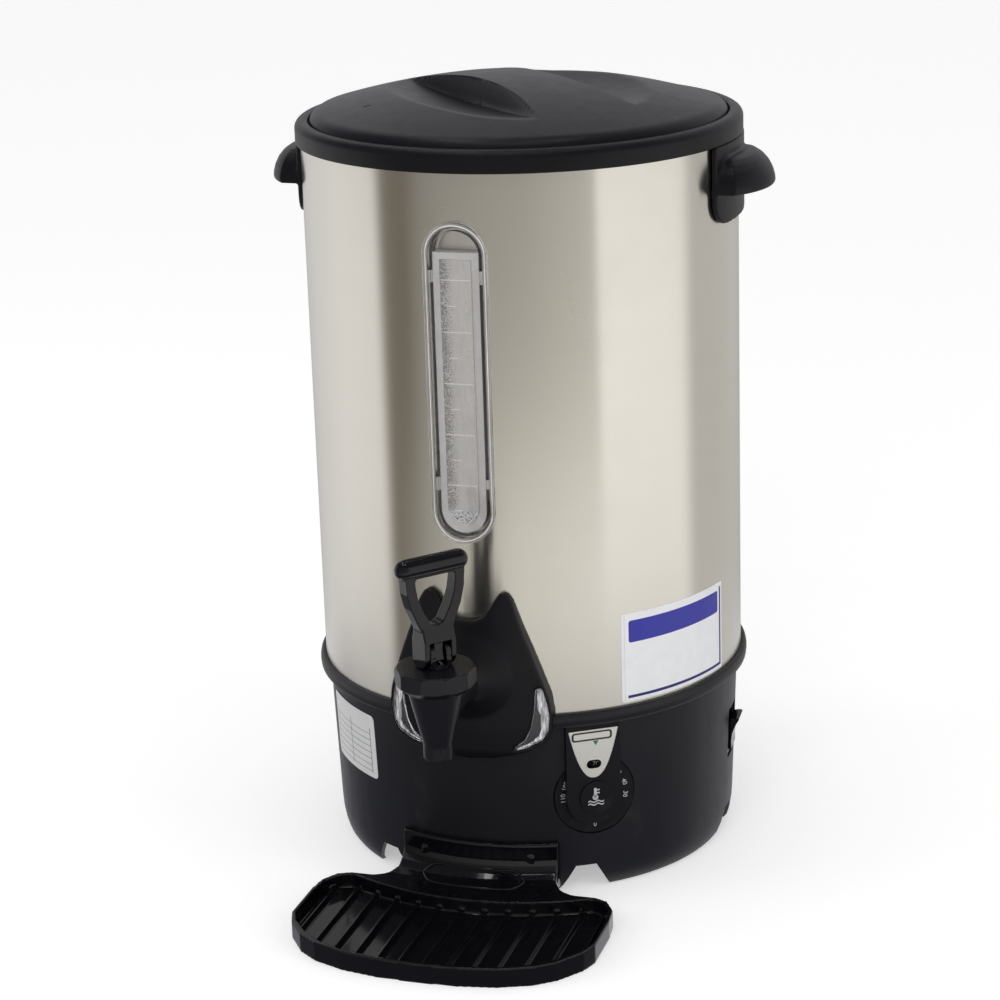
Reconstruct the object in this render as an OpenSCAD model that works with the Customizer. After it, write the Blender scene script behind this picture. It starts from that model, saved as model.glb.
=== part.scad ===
// Coffee urn with a side tap: steel shell over a moulded base, lift-off lid, sight gauge,
// lever tap with a swivelling handle, thermostat dial, rocker switch and slide-in drip tray.
// Millimetres. The origin is on the urn's axis at table level, the tap faces -Y, up is +Z.

/* [Body] */
// Outer radius of the steel shell
shell_r = 130; // [129.5:0.1:130.5]
// Wall of the steel shell
shell_t = 0.6; // [0.4:0.1:0.8]
// Height of the base, from the table to the top of its lip
base_h = 118; // [117.8:0.1:118.2]
// Height of the top edge of the visible steel
steel_top = 438; // [437.5:0.1:438.5]
// Inside radius of the water tank
tank_r = 120; // [119.5:0.1:120.2]
// Height of the tank floor
tank_floor = 128; // [127.5:0.1:128]
// Inside radius of the moulded base's wall
base_in_r = 121; // [120.8:0.1:121.2]

/* [Lid] */
// Outer radius of the lid
lid_r = 124.2; // [123.8:0.1:124.3]
// Highest point of the lid
lid_crest = 472.1; // [471.5:0.1:472.5]
// Angle of the lid's grip ridge, turned from the front-back line
ridge_turn = -50; // [-60:1:-40]

/* [Handles] */
// Reach of each side handle from the urn's axis
handle_reach = 154; // [151:0.1:155]
// Half angle of the handle's mounting plate around the shell
plate_half_angle = 16; // [14:0.5:17]

/* [Gauge] */
// Width of the sight window
window_w = 38; // [37:0.5:39]
// Height of the sight window
window_h = 187.5; // [186:0.5:189]
// Height of the middle of the sight window
window_z = 316.8; // [316:0.1:318]

/* [Tap] */
// Distance from the urn's axis to the tap's upright axis
tap_reach = 190; // [188:0.5:192]
// Height of the tap's shank
shank_z = 143.5; // [143:0.1:144]
// Height of the spout's mouth
spout_z = 114.5; // [113.5:0.5:115.5]
// Top of the ten-sided collar
collar_top = 170; // [169.8:0.1:170.2]
// How far the lever is swung round from facing forward
lever_turn = 49; // [40:1:50]
// Height of the lever's crossbar above the table
bar_z = 230; // [228:0.5:232]

/* [Controls] */
// Position of the thermostat dial around the base
dial_az = 32.7; // [32:0.1:33.5]
// Height of the thermostat dial's middle
dial_z = 62.5; // [62:0.1:63]
// Radius of the thermostat dial
dial_r = 24.5; // [24:0.1:24.8]
// Position of the rocker switch around the base
switch_az = 94; // [92:0.5:96]
// Height of the rocker switch's middle
switch_z = 66; // [65:0.5:67]
// How far the rocker leans out at rest
rocker_lean = 14; // [12:0.5:14]

/* [Drip tray] */
// Height of the tray's rim
tray_h = 12; // [11:0.5:13]
// Half width of the tray
tray_half_w = 92; // [91:0.5:93]
// Distance from the urn's axis to the tray's front edge
tray_front = 245; // [244:0.5:247]
// Spacing of the ribs in the tray
rib_pitch = 14; // [13:0.5:14]

/* [Hidden] */
$fn = 96;

skin_gap = 0.1;              // gap left between moulded parts that lie on each other
moving_gap = 0.4;            // gap between parts that move past each other
running_gap = 0.06;          // radial clearance of a running fit

black = [0.07, 0.07, 0.075];
gloss_black = [0.03, 0.03, 0.035];
steel = [0.72, 0.70, 0.66];
rubber = [0.12, 0.12, 0.12];
clear = [0.85, 0.9, 0.92, 0.5];
frosted = [0.8, 0.82, 0.82, 0.8];
silver = [0.82, 0.82, 0.78];
brass = [0.75, 0.62, 0.3];
silicone = [0.85, 0.85, 0.82];
label_white = [0.95, 0.95, 0.96];

// Base wall: radius at the foot curve's top and just under the lip
foot_h = 20.5;
foot_wall_r = 124.2;
neck_z = 92;
neck_r = 126.9;
lip_r = shell_r + 3.6;
lip_low = base_h - 7.8;
seat_z = base_h - 5.8;       // ledge the steel shell stands on
skirt_z = 0.8;               // lower edge of the skirt above the table

function wall_r(z) = foot_wall_r + (neck_r - foot_wall_r) * (z - foot_h) / (neck_z - foot_h);

// Foot cut-outs and the base's inner ledge
cutouts = 6;
cutout_h = 17;
cutout_half_low = 15.6;
cutout_half_top = 6.3;
ledge_z = foot_h;
ledge_t = 3;
ledge_r = 100;
screw_circle = 107;
leg_circle = 92;
leg_r = 8;

// Flat bays in the base wall
bay_floor = 122.4;
bay_back = 118;
frame_w = 25;
frame_h = 31;
frame_t = 2;
inlet_az = 180;
inlet_z = 50;
inlet_w = 27;
inlet_h = 20;
dial_floor = 121.6;
dial_back = 116;
dial_face = 124.2;
bridge_back = 124.7;
bridge_face = 129;
bridge_half_w = 16.6;
bridge_top = lip_low - 0.8;
shaft_r = 3;
rocker_pivot = 120.5;
rocker_half_w = 8.2;
badge_t = 0.7;
badge_half_w = 15.3;
badge_top = dial_z + 43.2;
badge_shift = -1.6;          // the badge sits a little left of the dial's middle
badge_low = dial_z + 12.8;
sight_z = dial_z + 21.5;

// Rim, tank flange and lid seat
rim_top = steel_top + 13;
rim_r = shell_r + 3;
flange_z = steel_top + 8;
flange_t = 0.8;
tank_t = 0.8;
rim_inner_r = lid_r + 0.6;
lid_seat = flange_z + flange_t + 0.3;
lid_t = 2.5;
dome_r = 440;
scoop_depth = 15;
scoop_long_r = 694;
scoop_cross_r = 115;
liner_r = tank_r - 1.2;
plug_low = flange_z - 10;

// Handles
handle_low = 392;
lug_low = 410.5;
lug_half_w = 36.5;
lug_rise = 20;
lug_round_r = 54;             // roundness of the lug's outer edge seen from above
handle_screw_z = 425;
handle_screw_x = 24;

// Gauge
slot_w = window_w - 5.6;
slot_h = window_h - 5.6;
window_face = shell_r + 2.2;
chamber_w = 27;
chamber_low = 229;
chamber_top = 393;
channel_w = 18;
port_low = 243;
port_high = 380;
port_r = 3.6;
mark_pitch = 30;
top_mark = 377.5;
marks = 5;

// Tap
shank_r = 8;
shank_bore = 5;
web_top = 138.4;
web_low = 136.5;
seal_r = 7.4;
barrel_r = 16.2;
neck_thread_r = 15;
collar_r = 23.2;
collar_low = 156;
collar_sides = 10;
collar_turn = 15.7;
chamber_r = 11.6;
stem_r = 3;
stem_travel = 3;
head_low = collar_top + 0.1;
pin_z = 178;
pin_r = 1.5;
pin_half = 8.4;
head_half = 6.7;
cheek_r = 7.5;
yoke_in = 7.05;              // the lever's outer cheeks, beside the stem head's
yoke_out = 10;
yoke_half_t = 7.5;
yoke_r = 7.65;
tongue_half = 3;
slot_half = 3.4;
lever_low = pin_z + 8;
yoke_top = 17.4;
lever_half_t = 4.5;
bar_r = 5.8;
bar_half = 17.2;
cam_r = 3.8;
cam_end = 60;                // degrees of lever travel over which the cam presses the stem
stem_top = pin_z - cam_r - 0.25;

// Drip tray
tray_wall = 2.6;
tray_floor = 3;
tray_back_r = 125.6;
bracket_top = 35.4;
hook_x = 28;
hook_z = 26;

// Draws children flat in the plane that faces outward at an angle round the urn,
// x to the right, y up, extruded outward from distance d
module facing(az, d, z) {
    rotate([0, 0, az]) translate([0, -d, z]) rotate([90, 0, 0]) children();
}

module ring(r_in, r_out, z_low, z_high, sides = 180) {
    rotate_extrude($fn = sides) translate([r_in, z_low]) square([r_out - r_in, z_high - z_low]);
}

module round_bar(r, z_low, z_high, sides = 48) {
    translate([0, 0, z_low]) cylinder(r = r, h = z_high - z_low, $fn = sides);
}

module stadium(w, h) {
    square([w, h - w], center = true);
    for (side = [-1, 1]) translate([0, side * (h - w) / 2]) circle(d = w);
}

module round_rect(w, h, r) {
    square([w - 2 * r, h], center = true);
    square([w, h - 2 * r], center = true);
    for (sx = [-1, 1], sy = [-1, 1]) translate([sx * (w / 2 - r), sy * (h / 2 - r)]) circle(r = r);
}

// ---- Base ----

function base_outline(g) = [
    [119 + g, skirt_z], [121.2 + g, 4], [122.8 + g, 9], [123.8 + g, 15], [foot_wall_r + g, foot_h],
    [neck_r + g, neck_z], [127.3 + g, lip_low - 3 - g], [129 + g, lip_low - 1 - g],
    [lip_r - 1.2 + g, lip_low - 0.4 - g], [lip_r - 0.3 + g, lip_low + 0.6 - g],
    [lip_r + g, lip_low + 3], [lip_r + g, base_h - 3.5], [lip_r - 0.4 + g, base_h - 1.2 + g],
    [lip_r - 1.6 + g, base_h + g]
];

module base_envelope(grow) {
    rotate_extrude($fn = 180)
        polygon(concat([[0, skirt_z]], base_outline(grow), [[0, base_h + grow]]));
}

module base_wall() {
    inner = [
        [shell_r + 0.3, base_h], [shell_r + 0.3, seat_z], [base_in_r, seat_z],
        [base_in_r, foot_h - 2], [base_in_r - 0.8, 9], [base_in_r - 2.4, 4],
        [base_in_r - 4.6, skirt_z]
    ];
    rotate_extrude($fn = 180) polygon(concat(base_outline(0), inner));
}

module foot_cutouts() {
    for (k = [0 : cutouts - 1])
        facing(30 + k * 360 / cutouts, 100, 0)
            linear_extrude(30)
                polygon([[-cutout_half_low, -1], [cutout_half_low, -1],
                         [cutout_half_low, skirt_z], [cutout_half_top, cutout_h],
                         [-cutout_half_top, cutout_h], [-cutout_half_low, skirt_z]]);
}

module bay_block(az, z, w, h) {
    facing(az, bay_back, z) linear_extrude(bay_floor - bay_back) square([w, h], center = true);
}

module bay_cut(az, z, w, h, hole_w, hole_h) {
    facing(az, bay_floor, z) linear_extrude(10) round_rect(w, h, 2);
    facing(az, bay_back - 4, z) linear_extrude(20) square([hole_w, hole_h], center = true);
}

module base_housing() {
    color(black) difference() {
        union() {
            base_wall();
            ring(ledge_r, base_in_r + 0.5, ledge_z, ledge_z + ledge_t);
            for (k = [0 : 5])
                rotate([0, 0, k * 60]) translate([0, -screw_circle, 0])
                    round_bar(4.5, ledge_z, ledge_z + 16);
            bay_block(switch_az, switch_z, frame_w + 6, frame_h + 6);
            bay_block(inlet_az, inlet_z, frame_h + 6, frame_w + 6);
            facing(dial_az, dial_back, dial_z) cylinder(r = dial_r + 4, h = dial_floor - dial_back);
        }
        foot_cutouts();
        bay_cut(switch_az, switch_z, frame_w + 1.2, frame_h + 1.2, 22.2, 28.2);
        bay_cut(inlet_az, inlet_z, frame_h + 1.2, frame_w + 1.2, inlet_w + 0.4, inlet_h + 0.4);
        facing(dial_az, dial_floor, dial_z) cylinder(r = dial_r + 0.8, h = 10);
        facing(dial_az, dial_back - 4, dial_z) cylinder(r = shaft_r + running_gap, h = 20);
        for (k = [0 : 5])
            rotate([0, 0, k * 60]) translate([0, -screw_circle, 0])
                round_bar(1.55, ledge_z - 1, ledge_z + 12);
        for (side = [-1, 1])
            translate([side * hook_x - 7, -128, hook_z - 2.25]) cube([14, 16, 4.5]);
    }
}

module base_plate() {
    color(black) difference() {
        union() {
            round_bar(115.5, ledge_z - 2.5, ledge_z, 180);
            for (k = [0 : 5])
                rotate([0, 0, k * 60]) translate([0, -leg_circle, 0])
                    round_bar(leg_r, 2, ledge_z - 1);
        }
        for (k = [0 : 5])
            rotate([0, 0, k * 60]) translate([0, -screw_circle, 0]) round_bar(1.8, 10, 30);
        for (k = [0 : 5])
            rotate([0, 0, k * 60]) translate([0, -leg_circle, 0]) round_bar(3.05, 1, 9);
        for (k = [0 : 11])
            rotate([0, 0, k * 30]) translate([0, -50, ledge_z - 4])
                linear_extrude(6) stadium(4, 26);
    }
}

module rubber_feet() {
    color(rubber) for (k = [0 : 5])
        rotate([0, 0, k * 60]) translate([0, -leg_circle, 0]) {
            round_bar(leg_r - 0.5, 0, 2);
            round_bar(3, 1.5, 8);
        }
}

module base_screws() {
    color(steel) for (k = [0 : 5])
        rotate([0, 0, k * 60]) translate([0, -screw_circle, 0]) difference() {
            union() {
                round_bar(3, ledge_z - 4.3, ledge_z - 2.5);
                round_bar(1.5, ledge_z - 3, ledge_z + 10);
            }
            translate([0, 0, ledge_z - 4.4]) linear_extrude(1) square([3.6, 0.8], center = true);
            translate([0, 0, ledge_z - 4.4]) linear_extrude(1) square([0.8, 3.6], center = true);
        }
}

// ---- Shell, tank, rim ----

module gauge_slot(w, h) {
    facing(0, shell_r - 20, window_z) linear_extrude(40) stadium(w, h);
}

module handle_screw_places(side) {
    for (sx = [-1, 1])
        facing(side * 90, 0, handle_screw_z) translate([sx * handle_screw_x, 0, 0]) children();
}

module outer_shell() {
    color(steel) difference() {
        ring(shell_r - shell_t, shell_r, seat_z + skin_gap, flange_z - skin_gap);
        gauge_slot(slot_w, slot_h);
        facing(0, shell_r - 10, shank_z) cylinder(r = shank_r + 3.6, h = 20);
        for (side = [-1, 1])
            handle_screw_places(side) translate([0, 0, 120]) cylinder(r = 2.3, h = 20, $fn = 32);
    }
}

module inner_tank() {
    outline = [
        [tank_r, tank_floor], [tank_r + tank_t, tank_floor], [tank_r + tank_t, flange_z],
        [shell_r - 0.5, flange_z], [shell_r - 0.5, flange_z + flange_t], [tank_r, flange_z + flange_t]
    ];
    color(steel) difference() {
        rotate_extrude($fn = 180) polygon(outline);
        facing(0, tank_r - 8, shank_z) cylinder(r = shank_r + 0.3, h = 16);
        for (z = [port_low, port_high])
            facing(0, tank_r - 8, z) cylinder(r = port_r + 0.3, h = 16, $fn = 48);
    }
}

// The tank's floor, welded in at the wall's lower edge
module tank_base() {
    color(steel) round_bar(tank_r - 0.02, tank_floor, tank_floor + tank_t, 180);
}

module top_rim() {
    channel = flange_z + flange_t + skin_gap;
    outline = [
        [shell_r + 0.3, steel_top], [rim_r, steel_top], [rim_r, rim_top - 4.6],
        [rim_r - 0.6, rim_top - 2.4], [rim_r - 2, rim_top - 0.8], [rim_r - 3.8, rim_top],
        [rim_inner_r + 1.4, rim_top], [rim_inner_r + 0.4, rim_top - 0.5],
        [rim_inner_r, rim_top - 1.5], [rim_inner_r, channel], [shell_r + 0.3, channel]
    ];
    color(black) rotate_extrude($fn = 180) polygon(outline);
}

// ---- Handles ----

// Outline of the mounting plate, with rounded lower corners
module plate_shape(half, h, r) {
    arc = [for (k = [0 : 8]) let (q = k * 11.25) [half - r + r * sin(q), r - r * cos(q)]];
    left = [for (k = [8 : -1 : 0]) [-arc[k][0], arc[k][1]]];
    polygon(concat(arc, [[half, h], [-half, h]], left));
}

module handle_plate() {
    plate_half = (shell_r + 2) * sin(plate_half_angle);
    plate_h = steel_top - skin_gap - handle_low;
    intersection() {
        translate([0, 0, handle_low]) rotate([0, 0, -110])
            rotate_extrude(angle = 40, $fn = 180) translate([shell_r - 1, 0])
                square([4.4, plate_h]);
        facing(0, 100, handle_low) linear_extrude(60) plate_shape(plate_half, plate_h + 5, 14);
    }
}

// Front view of the lug, its ends rounded off toward the top
module lug_front() {
    round_r = 17;
    corner = [
        for (k = [0 : 8])
            let (q = k * 11.25)
                [lug_half_w - round_r + round_r * cos(q), lug_low + 3 + round_r * sin(q)]
    ];
    mirrored = [for (k = [8 : -1 : 0]) [-corner[k][0], corner[k][1]]];
    polygon(concat([[-lug_half_w, lug_low - 1], [lug_half_w, lug_low - 1]], corner, mirrored));
}

module handle_lug() {
    centre_y = lug_round_r - handle_reach;
    section = [
        [24, lug_low], [lug_round_r - 1, lug_low], [lug_round_r, lug_low + 1.4],
        [lug_round_r - 0.3, lug_low + 4.4], [lug_round_r - 1.5, lug_low + 8.6],
        [lug_round_r - 3.8, lug_low + 13], [lug_round_r - 6.8, lug_low + 16.4],
        [lug_round_r - 10.4, lug_low + 18.8], [lug_round_r - 15.6, lug_low + lug_rise],
        [24, lug_low + lug_rise]
    ];
    difference() {
        intersection() {
            translate([0, centre_y, 0]) rotate_extrude($fn = 180) polygon(section);
            facing(0, 122, 0) linear_extrude(40) lug_front();
        }
        intersection() {
            translate([0, centre_y, 0])
                ring(lug_round_r - 15.8, lug_round_r - 3.3, lug_low - 1, lug_low + 8);
            translate([-29, -handle_reach, lug_low - 1]) cube([58, 20, 9]);
        }
    }
}

module handle(side) {
    color(black) difference() {
        rotate([0, 0, side * 90]) {
            handle_plate();
            handle_lug();
        }
        round_bar(shell_r + 0.3, handle_low - 2, steel_top + 3, 180);
        handle_screw_places(side) translate([0, 0, 120]) cylinder(r = 1.95, h = 19, $fn = 32);
    }
}

module handle_left() handle(-1);
module handle_right() handle(1);

module handle_screws() {
    color(steel) for (side = [-1, 1]) handle_screw_places(side) {
        translate([0, 0, 123.6]) cylinder(r = 3.4, h = 2.2, $fn = 32);
        translate([0, 0, 125.2]) cylinder(r = 1.9, h = 12.8, $fn = 32);
    }
}

// ---- Lid ----

// One leaf-shaped finger scoop beside the lid's ridge, grown outward by g
module finger_scoop(g) {
    intersection() {
        translate([5, -28, lid_crest - scoop_depth + scoop_long_r]) rotate([90, 0, 0])
            rotate_extrude($fn = 180)
                translate([scoop_long_r - scoop_cross_r, 0]) circle(r = scoop_cross_r + g);
        translate([24, -360.8, lid_seat + 0.6 - g]) cylinder(r = 340 + g, h = 60, $fn = 180);
    }
}

module scoops(g) {
    rotate([0, 0, ridge_turn]) for (turn = [0, 180]) rotate([0, 0, turn]) finger_scoop(g);
}

// Solid under the lid's skin, with the skin lowered by drop
module lid_dome(drop) {
    low = drop > 0 ? lid_seat - 1 : lid_seat;
    outline = [
        [0, low], [lid_r - drop, low], [lid_r - drop, lid_seat + 3.4 - drop],
        [lid_r - 0.7 - drop, lid_seat + 5.4 - drop], [lid_r - 2.4 - drop, lid_seat + 7.2 - drop],
        [lid_r - 4.6 - drop, lid_seat + 8.4 - drop], [lid_r - 7 - drop, lid_seat + 9.6 - drop],
        [lid_r - 9 - drop, lid_seat + 60], [0, lid_seat + 60]
    ];
    intersection() {
        rotate_extrude($fn = 180) polygon(outline);
        translate([0, 0, lid_crest - dome_r]) sphere(r = dome_r - drop, $fn = 180);
    }
}

module lid_screw_places() {
    for (k = [0 : 3]) rotate([0, 0, 30 + k * 90]) translate([0, -106, 0]) children();
}

module lid_shell() {
    color(black) difference() {
        union() {
            difference() {
                lid_dome(0);
                lid_dome(lid_t);
            }
            intersection() {
                lid_dome(0);
                scoops(2);
            }
            intersection() {
                lid_dome(0);
                lid_screw_places() round_bar(4, lid_seat, lid_seat + 30);
            }
        }
        scoops(0);
        lid_screw_places() round_bar(1.5, lid_seat - 1, lid_seat + 7);
        rotate([0, 0, -52]) translate([0, -94, lid_seat + 2])
            linear_extrude(30) stadium(1.8, 5);
    }
}

module lid_liner() {
    plate_z = lid_seat - skin_gap - 1.2;
    color(black) difference() {
        union() {
            round_bar(liner_r - 0.3, plate_z, plate_z + 1.2, 180);
            ring(liner_r - 2.3, liner_r, plug_low, plug_low + 1.2);
            ring(liner_r - 2.3, liner_r - 0.9, plug_low, plate_z + 0.6);
            ring(liner_r - 2.3, liner_r, plug_low + 5.2, plate_z + 0.6);
        }
        lid_screw_places() round_bar(1.7, plate_z - 1, plate_z + 3);
        rotate([0, 0, -52]) translate([0, -94, plate_z - 1]) linear_extrude(4) stadium(1.8, 5);
    }
}

module lid_seal() {
    color(silicone) ring(liner_r - 0.85, tank_r - 0.4, plug_low + 1.3, plug_low + 5.1);
}

module lid_screws() {
    plate_z = lid_seat - skin_gap - 1.2;
    color(steel) lid_screw_places() {
        round_bar(3, plate_z - 1.7, plate_z);
        round_bar(1.45, plate_z - 0.5, lid_seat + 6);
    }
}

// ---- Sight gauge ----

module gauge_window() {
    color(clear) difference() {
        intersection() {
            ring(shell_r - 6, window_face, window_z - 100, window_z + 100);
            union() {
                gauge_slot(slot_w - 0.8, slot_h - 0.8);
                intersection() {
                    gauge_slot(window_w, window_h);
                    ring(shell_r + 0.35, window_face, window_z - 100, window_z + 100);
                }
            }
        }
        intersection() {
            ring(shell_r - 10, shell_r + 0.6, window_z - 100, window_z + 100);
            gauge_slot(slot_w - 4, slot_h - 4);
        }
    }
}

module gauge_gasket() {
    color(rubber) difference() {
        intersection() {
            ring(shell_r + 0.02, shell_r + 0.33, window_z - 100, window_z + 100);
            gauge_slot(window_w - 0.6, window_h - 0.6);
        }
        gauge_slot(slot_w, slot_h);
    }
}

module chamber_shape(w, z_low, z_high) {
    translate([0, z_low + w / 2]) circle(d = w);
    translate([-w / 2, z_low + w / 2]) square([w, z_high - z_low - w / 2]);
}

module gauge_chamber() {
    body_in = tank_r + 1.6;
    color(frosted) difference() {
        union() {
            intersection() {
                ring(body_in, shell_r - 1.6, chamber_low, chamber_top);
                facing(0, 100, 0) linear_extrude(40) chamber_shape(chamber_w, chamber_low, chamber_top);
            }
            for (z = [port_low, port_high])
                facing(0, tank_r - 4, z) cylinder(r = port_r, h = 8, $fn = 48);
        }
        intersection() {
            ring(body_in + 1.6, shell_r - 3.2, chamber_low, chamber_top);
            facing(0, 100, 0) linear_extrude(40)
                chamber_shape(channel_w, chamber_low + 6, chamber_top - 6);
        }
        for (z = [port_low, port_high])
            facing(0, tank_r - 6, z) cylinder(r = 2, h = 10, $fn = 32);
    }
}

module gauge_seals() {
    color(silicone) for (z = [port_low, port_high]) difference() {
        intersection() {
            ring(tank_r + 0.85, tank_r + 1.55, chamber_low, chamber_top);
            facing(0, 100, z) cylinder(r = 6.5, h = 40, $fn = 48);
        }
        facing(0, 100, z) cylinder(r = port_r + 0.05, h = 40, $fn = 48);
    }
}

module gauge_scale() {
    plate_in = shell_r - 1.5;
    color(frosted) {
        intersection() {
            ring(plate_in, plate_in + 0.8, chamber_low, chamber_top);
            facing(0, 100, 0) linear_extrude(40)
                chamber_shape(channel_w + 0.5, chamber_low + 5.8, chamber_top - 4);
        }
        intersection() {
            ring(plate_in + 0.5, plate_in + 1.1, chamber_low, chamber_top);
            for (k = [0 : marks - 1]) {
                facing(0, 100, top_mark - k * mark_pitch) linear_extrude(40)
                    square([channel_w - 1, 0.6], center = true);
                facing(0, 100, top_mark - (k + 0.5) * mark_pitch) linear_extrude(40)
                    translate([-2.5, 0]) square([5, 0.6], center = true);
            }
        }
    }
}

// ---- Tap fascia and indicator lenses ----

module shield_shape() {
    half = [
        [0, 177.3], [6.2, 177.6], [11.6, 180.3], [15.7, 186.6], [18.6, 191.8], [22.3, 194.3],
        [25.8, 192.7], [28.2, 188.6], [33, 174.6], [38.9, 159.3], [44.2, 144], [48.4, 131],
        [49.6, 121], [48.9, 110.4], [45.8, 103.2], [37, 98.2], [26, 95.4], [14, 93.2], [0, 92.4]
    ];
    polygon(half);
    mirror([1, 0]) polygon(half);
}

module lens_shape(g) {
    polygon([
        [41.2, 138 + g], [44.2, 138 + g], [46.5 + g, 129], [47.9 + g, 119.5], [47.2 + g, 111.4],
        [44.2 + g, 105.8 - g], [36.3, 101.6 - g], [27 - g, 98.8 - g], [29, 101.6], [34, 105.2 + g],
        [37.8 - g, 112.6], [39.9 - g, 124.6], [40.5 - g, 133]
    ]);
}

module fascia_solid() {
    surface_outline = [
        [shell_r - 8, 90], [136.9, 90], [139.2, 98], [140, 112], [140, 150], [138.8, 168],
        [136.4, 184], [134.2, 195], [shell_r - 8, 195]
    ];
    flare = [
        [0, -14], [31, -14], [30.5, -4], [27.5, -0.6], [23.5, 1.7], [19.5, 3.8], [16.2, 6.2],
        [13.4, 9], [11.8, 11], [0, 11]
    ];
    intersection() {
        rotate_extrude($fn = 180) polygon(surface_outline);
        facing(0, 100, 0) linear_extrude(60) shield_shape();
    }
    facing(0, 139, shank_z) rotate_extrude($fn = 96) polygon(flare);
}

module tap_fascia() {
    color(black) difference() {
        fascia_solid();
        base_envelope(skin_gap);
        round_bar(shell_r + 0.2, 80, 200, 180);
        facing(0, 100, shank_z) cylinder(r = shank_r + 0.3, h = 60);
        for (side = [0, 1]) mirror([side, 0, 0]) {
            intersection() {
                ring(134.9, 150, 90, 145);
                facing(0, 100, 0) linear_extrude(60) lens_shape(0.25);
            }
        }
    }
}

module indicator_lens(side) {
    color(clear) mirror([side, 0, 0]) intersection() {
        ring(137.4, 139.9, 90, 145);
        facing(0, 100, 0) linear_extrude(60) lens_shape(0);
    }
}

module indicator_lens_left() indicator_lens(1);
module indicator_lens_right() indicator_lens(0);

module indicator_lamps() {
    color("orange") for (side = [-1, 1])
        rotate([0, 0, side * 18.6]) translate([0, -136, 111]) round_bar(0.9, 0, 14, 32);
}

// ---- Tap ----

module tap_axis() {
    translate([0, -tap_reach, 0]) children();
}

module tap_body() {
    barrel = [
        [0, spout_z], [8.1, spout_z], [8.5, spout_z + 0.6], [8.6, 124], [barrel_r, 155.4],
        [barrel_r, 158], [neck_thread_r, 158], [neck_thread_r, collar_top - 3.8],
        [0, collar_top - 3.8]
    ];
    passage = [
        [0, spout_z - 1], [6.2, spout_z - 1], [6.2, 125], [8.4, 129], [8.4, web_low],
        [5.2, web_low], [5.2, web_top], [9.3, web_top], [chamber_r, 150],
        [chamber_r, collar_top], [0, collar_top]
    ];
    color(black) difference() {
        union() {
            tap_axis() rotate_extrude() polygon(barrel);
            facing(0, 108, shank_z) cylinder(r = shank_r, h = tap_reach - 108);
            facing(0, 150.2, shank_z) cylinder(r = 11, h = tap_reach - 150.2);
        }
        tap_axis() rotate_extrude() polygon(passage);
        facing(0, 107, shank_z) cylinder(r = shank_bore, h = tap_reach - 107, $fn = 48);
    }
}

module tap_collar() {
    shape = [
        [0, collar_low], [17.4, collar_low], [collar_r + 0.2, collar_low + 5],
        [collar_r + 0.2, collar_top - 1.6], [collar_r - 1.4, collar_top], [0, collar_top]
    ];
    bore = [
        [0, collar_low - 1], [barrel_r + 0.12, collar_low - 1], [barrel_r + 0.12, 158.1],
        [neck_thread_r + 0.06, 158.1], [neck_thread_r + 0.06, collar_top - 3.7],
        [0, collar_top - 3.7]
    ];
    color(black) tap_axis() difference() {
        intersection() {
            rotate([0, 0, collar_turn]) round_bar(collar_r, collar_low, collar_top, collar_sides);
            rotate_extrude() polygon(shape);
        }
        rotate_extrude() polygon(bore);
        round_bar(4.6, collar_low, collar_top + 1);
    }
}

module stem_gasket() {
    color(silicone) tap_axis() ring(stem_r + 0.08, chamber_r - 0.1, 163.2, collar_top - 3.8, 96);
}

module tap_nut() {
    color(black) difference() {
        facing(0, tank_r - 9.5, shank_z) cylinder(r = 13.5, h = 7, $fn = 6);
        facing(0, tank_r - 12, shank_z) cylinder(r = shank_r + 0.05, h = 12);
    }
}

// Two washers on the shank: inside the tank, and between the tank and the shell
module tap_washers() {
    color(silicone)
        for (span = [[tank_r - 3, tank_r - 0.05], [tank_r + 0.85, shell_r - shell_t - 0.05]])
            difference() {
                intersection() {
                    ring(span[0], span[1], shank_z - 20, shank_z + 20);
                    facing(0, tank_r - 2.4, shank_z) cylinder(r = 10, h = 20);
                }
                facing(0, 100, shank_z) cylinder(r = shank_r + 0.05, h = 40);
            }
}

// The lever's cam presses the stem down, which drops the seal from under the web
module tap_stem() {
    outline = [
        [0, web_low - 4.6], [4.2, web_low - 4.6], [4.2, web_low - 3.2], [stem_r, web_low - 3.2],
        [stem_r, 158.4], [8.2, 158.4], [8.2, 160], [stem_r, 160], [stem_r, stem_top - 4],
        [0.3, stem_top], [0, stem_top]
    ];
    color(black) tap_axis() rotate_extrude($fn = 48) polygon(outline);
}

module valve_seal() {
    cup = [
        [stem_r, web_low - 3.2], [seal_r - 1, web_low - 3.2], [seal_r, web_low - 1.6],
        [seal_r, web_low - 0.1], [stem_r, web_low - 0.1]
    ];
    color(silicone) tap_axis() rotate_extrude() polygon(cup);
}

// Points of one ring of the spring's wire, at turn angle a and height z
function wire_ring(a, z, coil_r, wire_r, sides) = [
    for (s = [0 : sides - 1])
        let (q = s * 360 / sides, rr = coil_r + wire_r * cos(q))
            [rr * cos(a), rr * sin(a), z + wire_r * sin(q)]
];

module coil_spring(coil_r, wire_r, z_low, z_high, turns) {
    sides = 6;
    per_turn = 16;
    rings = turns * per_turn;
    rise = (z_high - z_low - 2 * wire_r) / rings;
    points = [
        for (k = [0 : rings])
            each wire_ring(k * 360 / per_turn, z_low + wire_r + k * rise, coil_r, wire_r, sides)
    ];
    walls = [
        for (k = [0 : rings - 1], s = [0 : sides - 1])
            let (n = (s + 1) % sides)
                [k * sides + s, k * sides + n, (k + 1) * sides + n, (k + 1) * sides + s]
    ];
    first_cap = [[for (s = [sides - 1 : -1 : 0]) s]];
    last_cap = [[for (s = [0 : sides - 1]) rings * sides + s]];
    polyhedron(points = points, faces = concat(walls, first_cap, last_cap));
}

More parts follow.
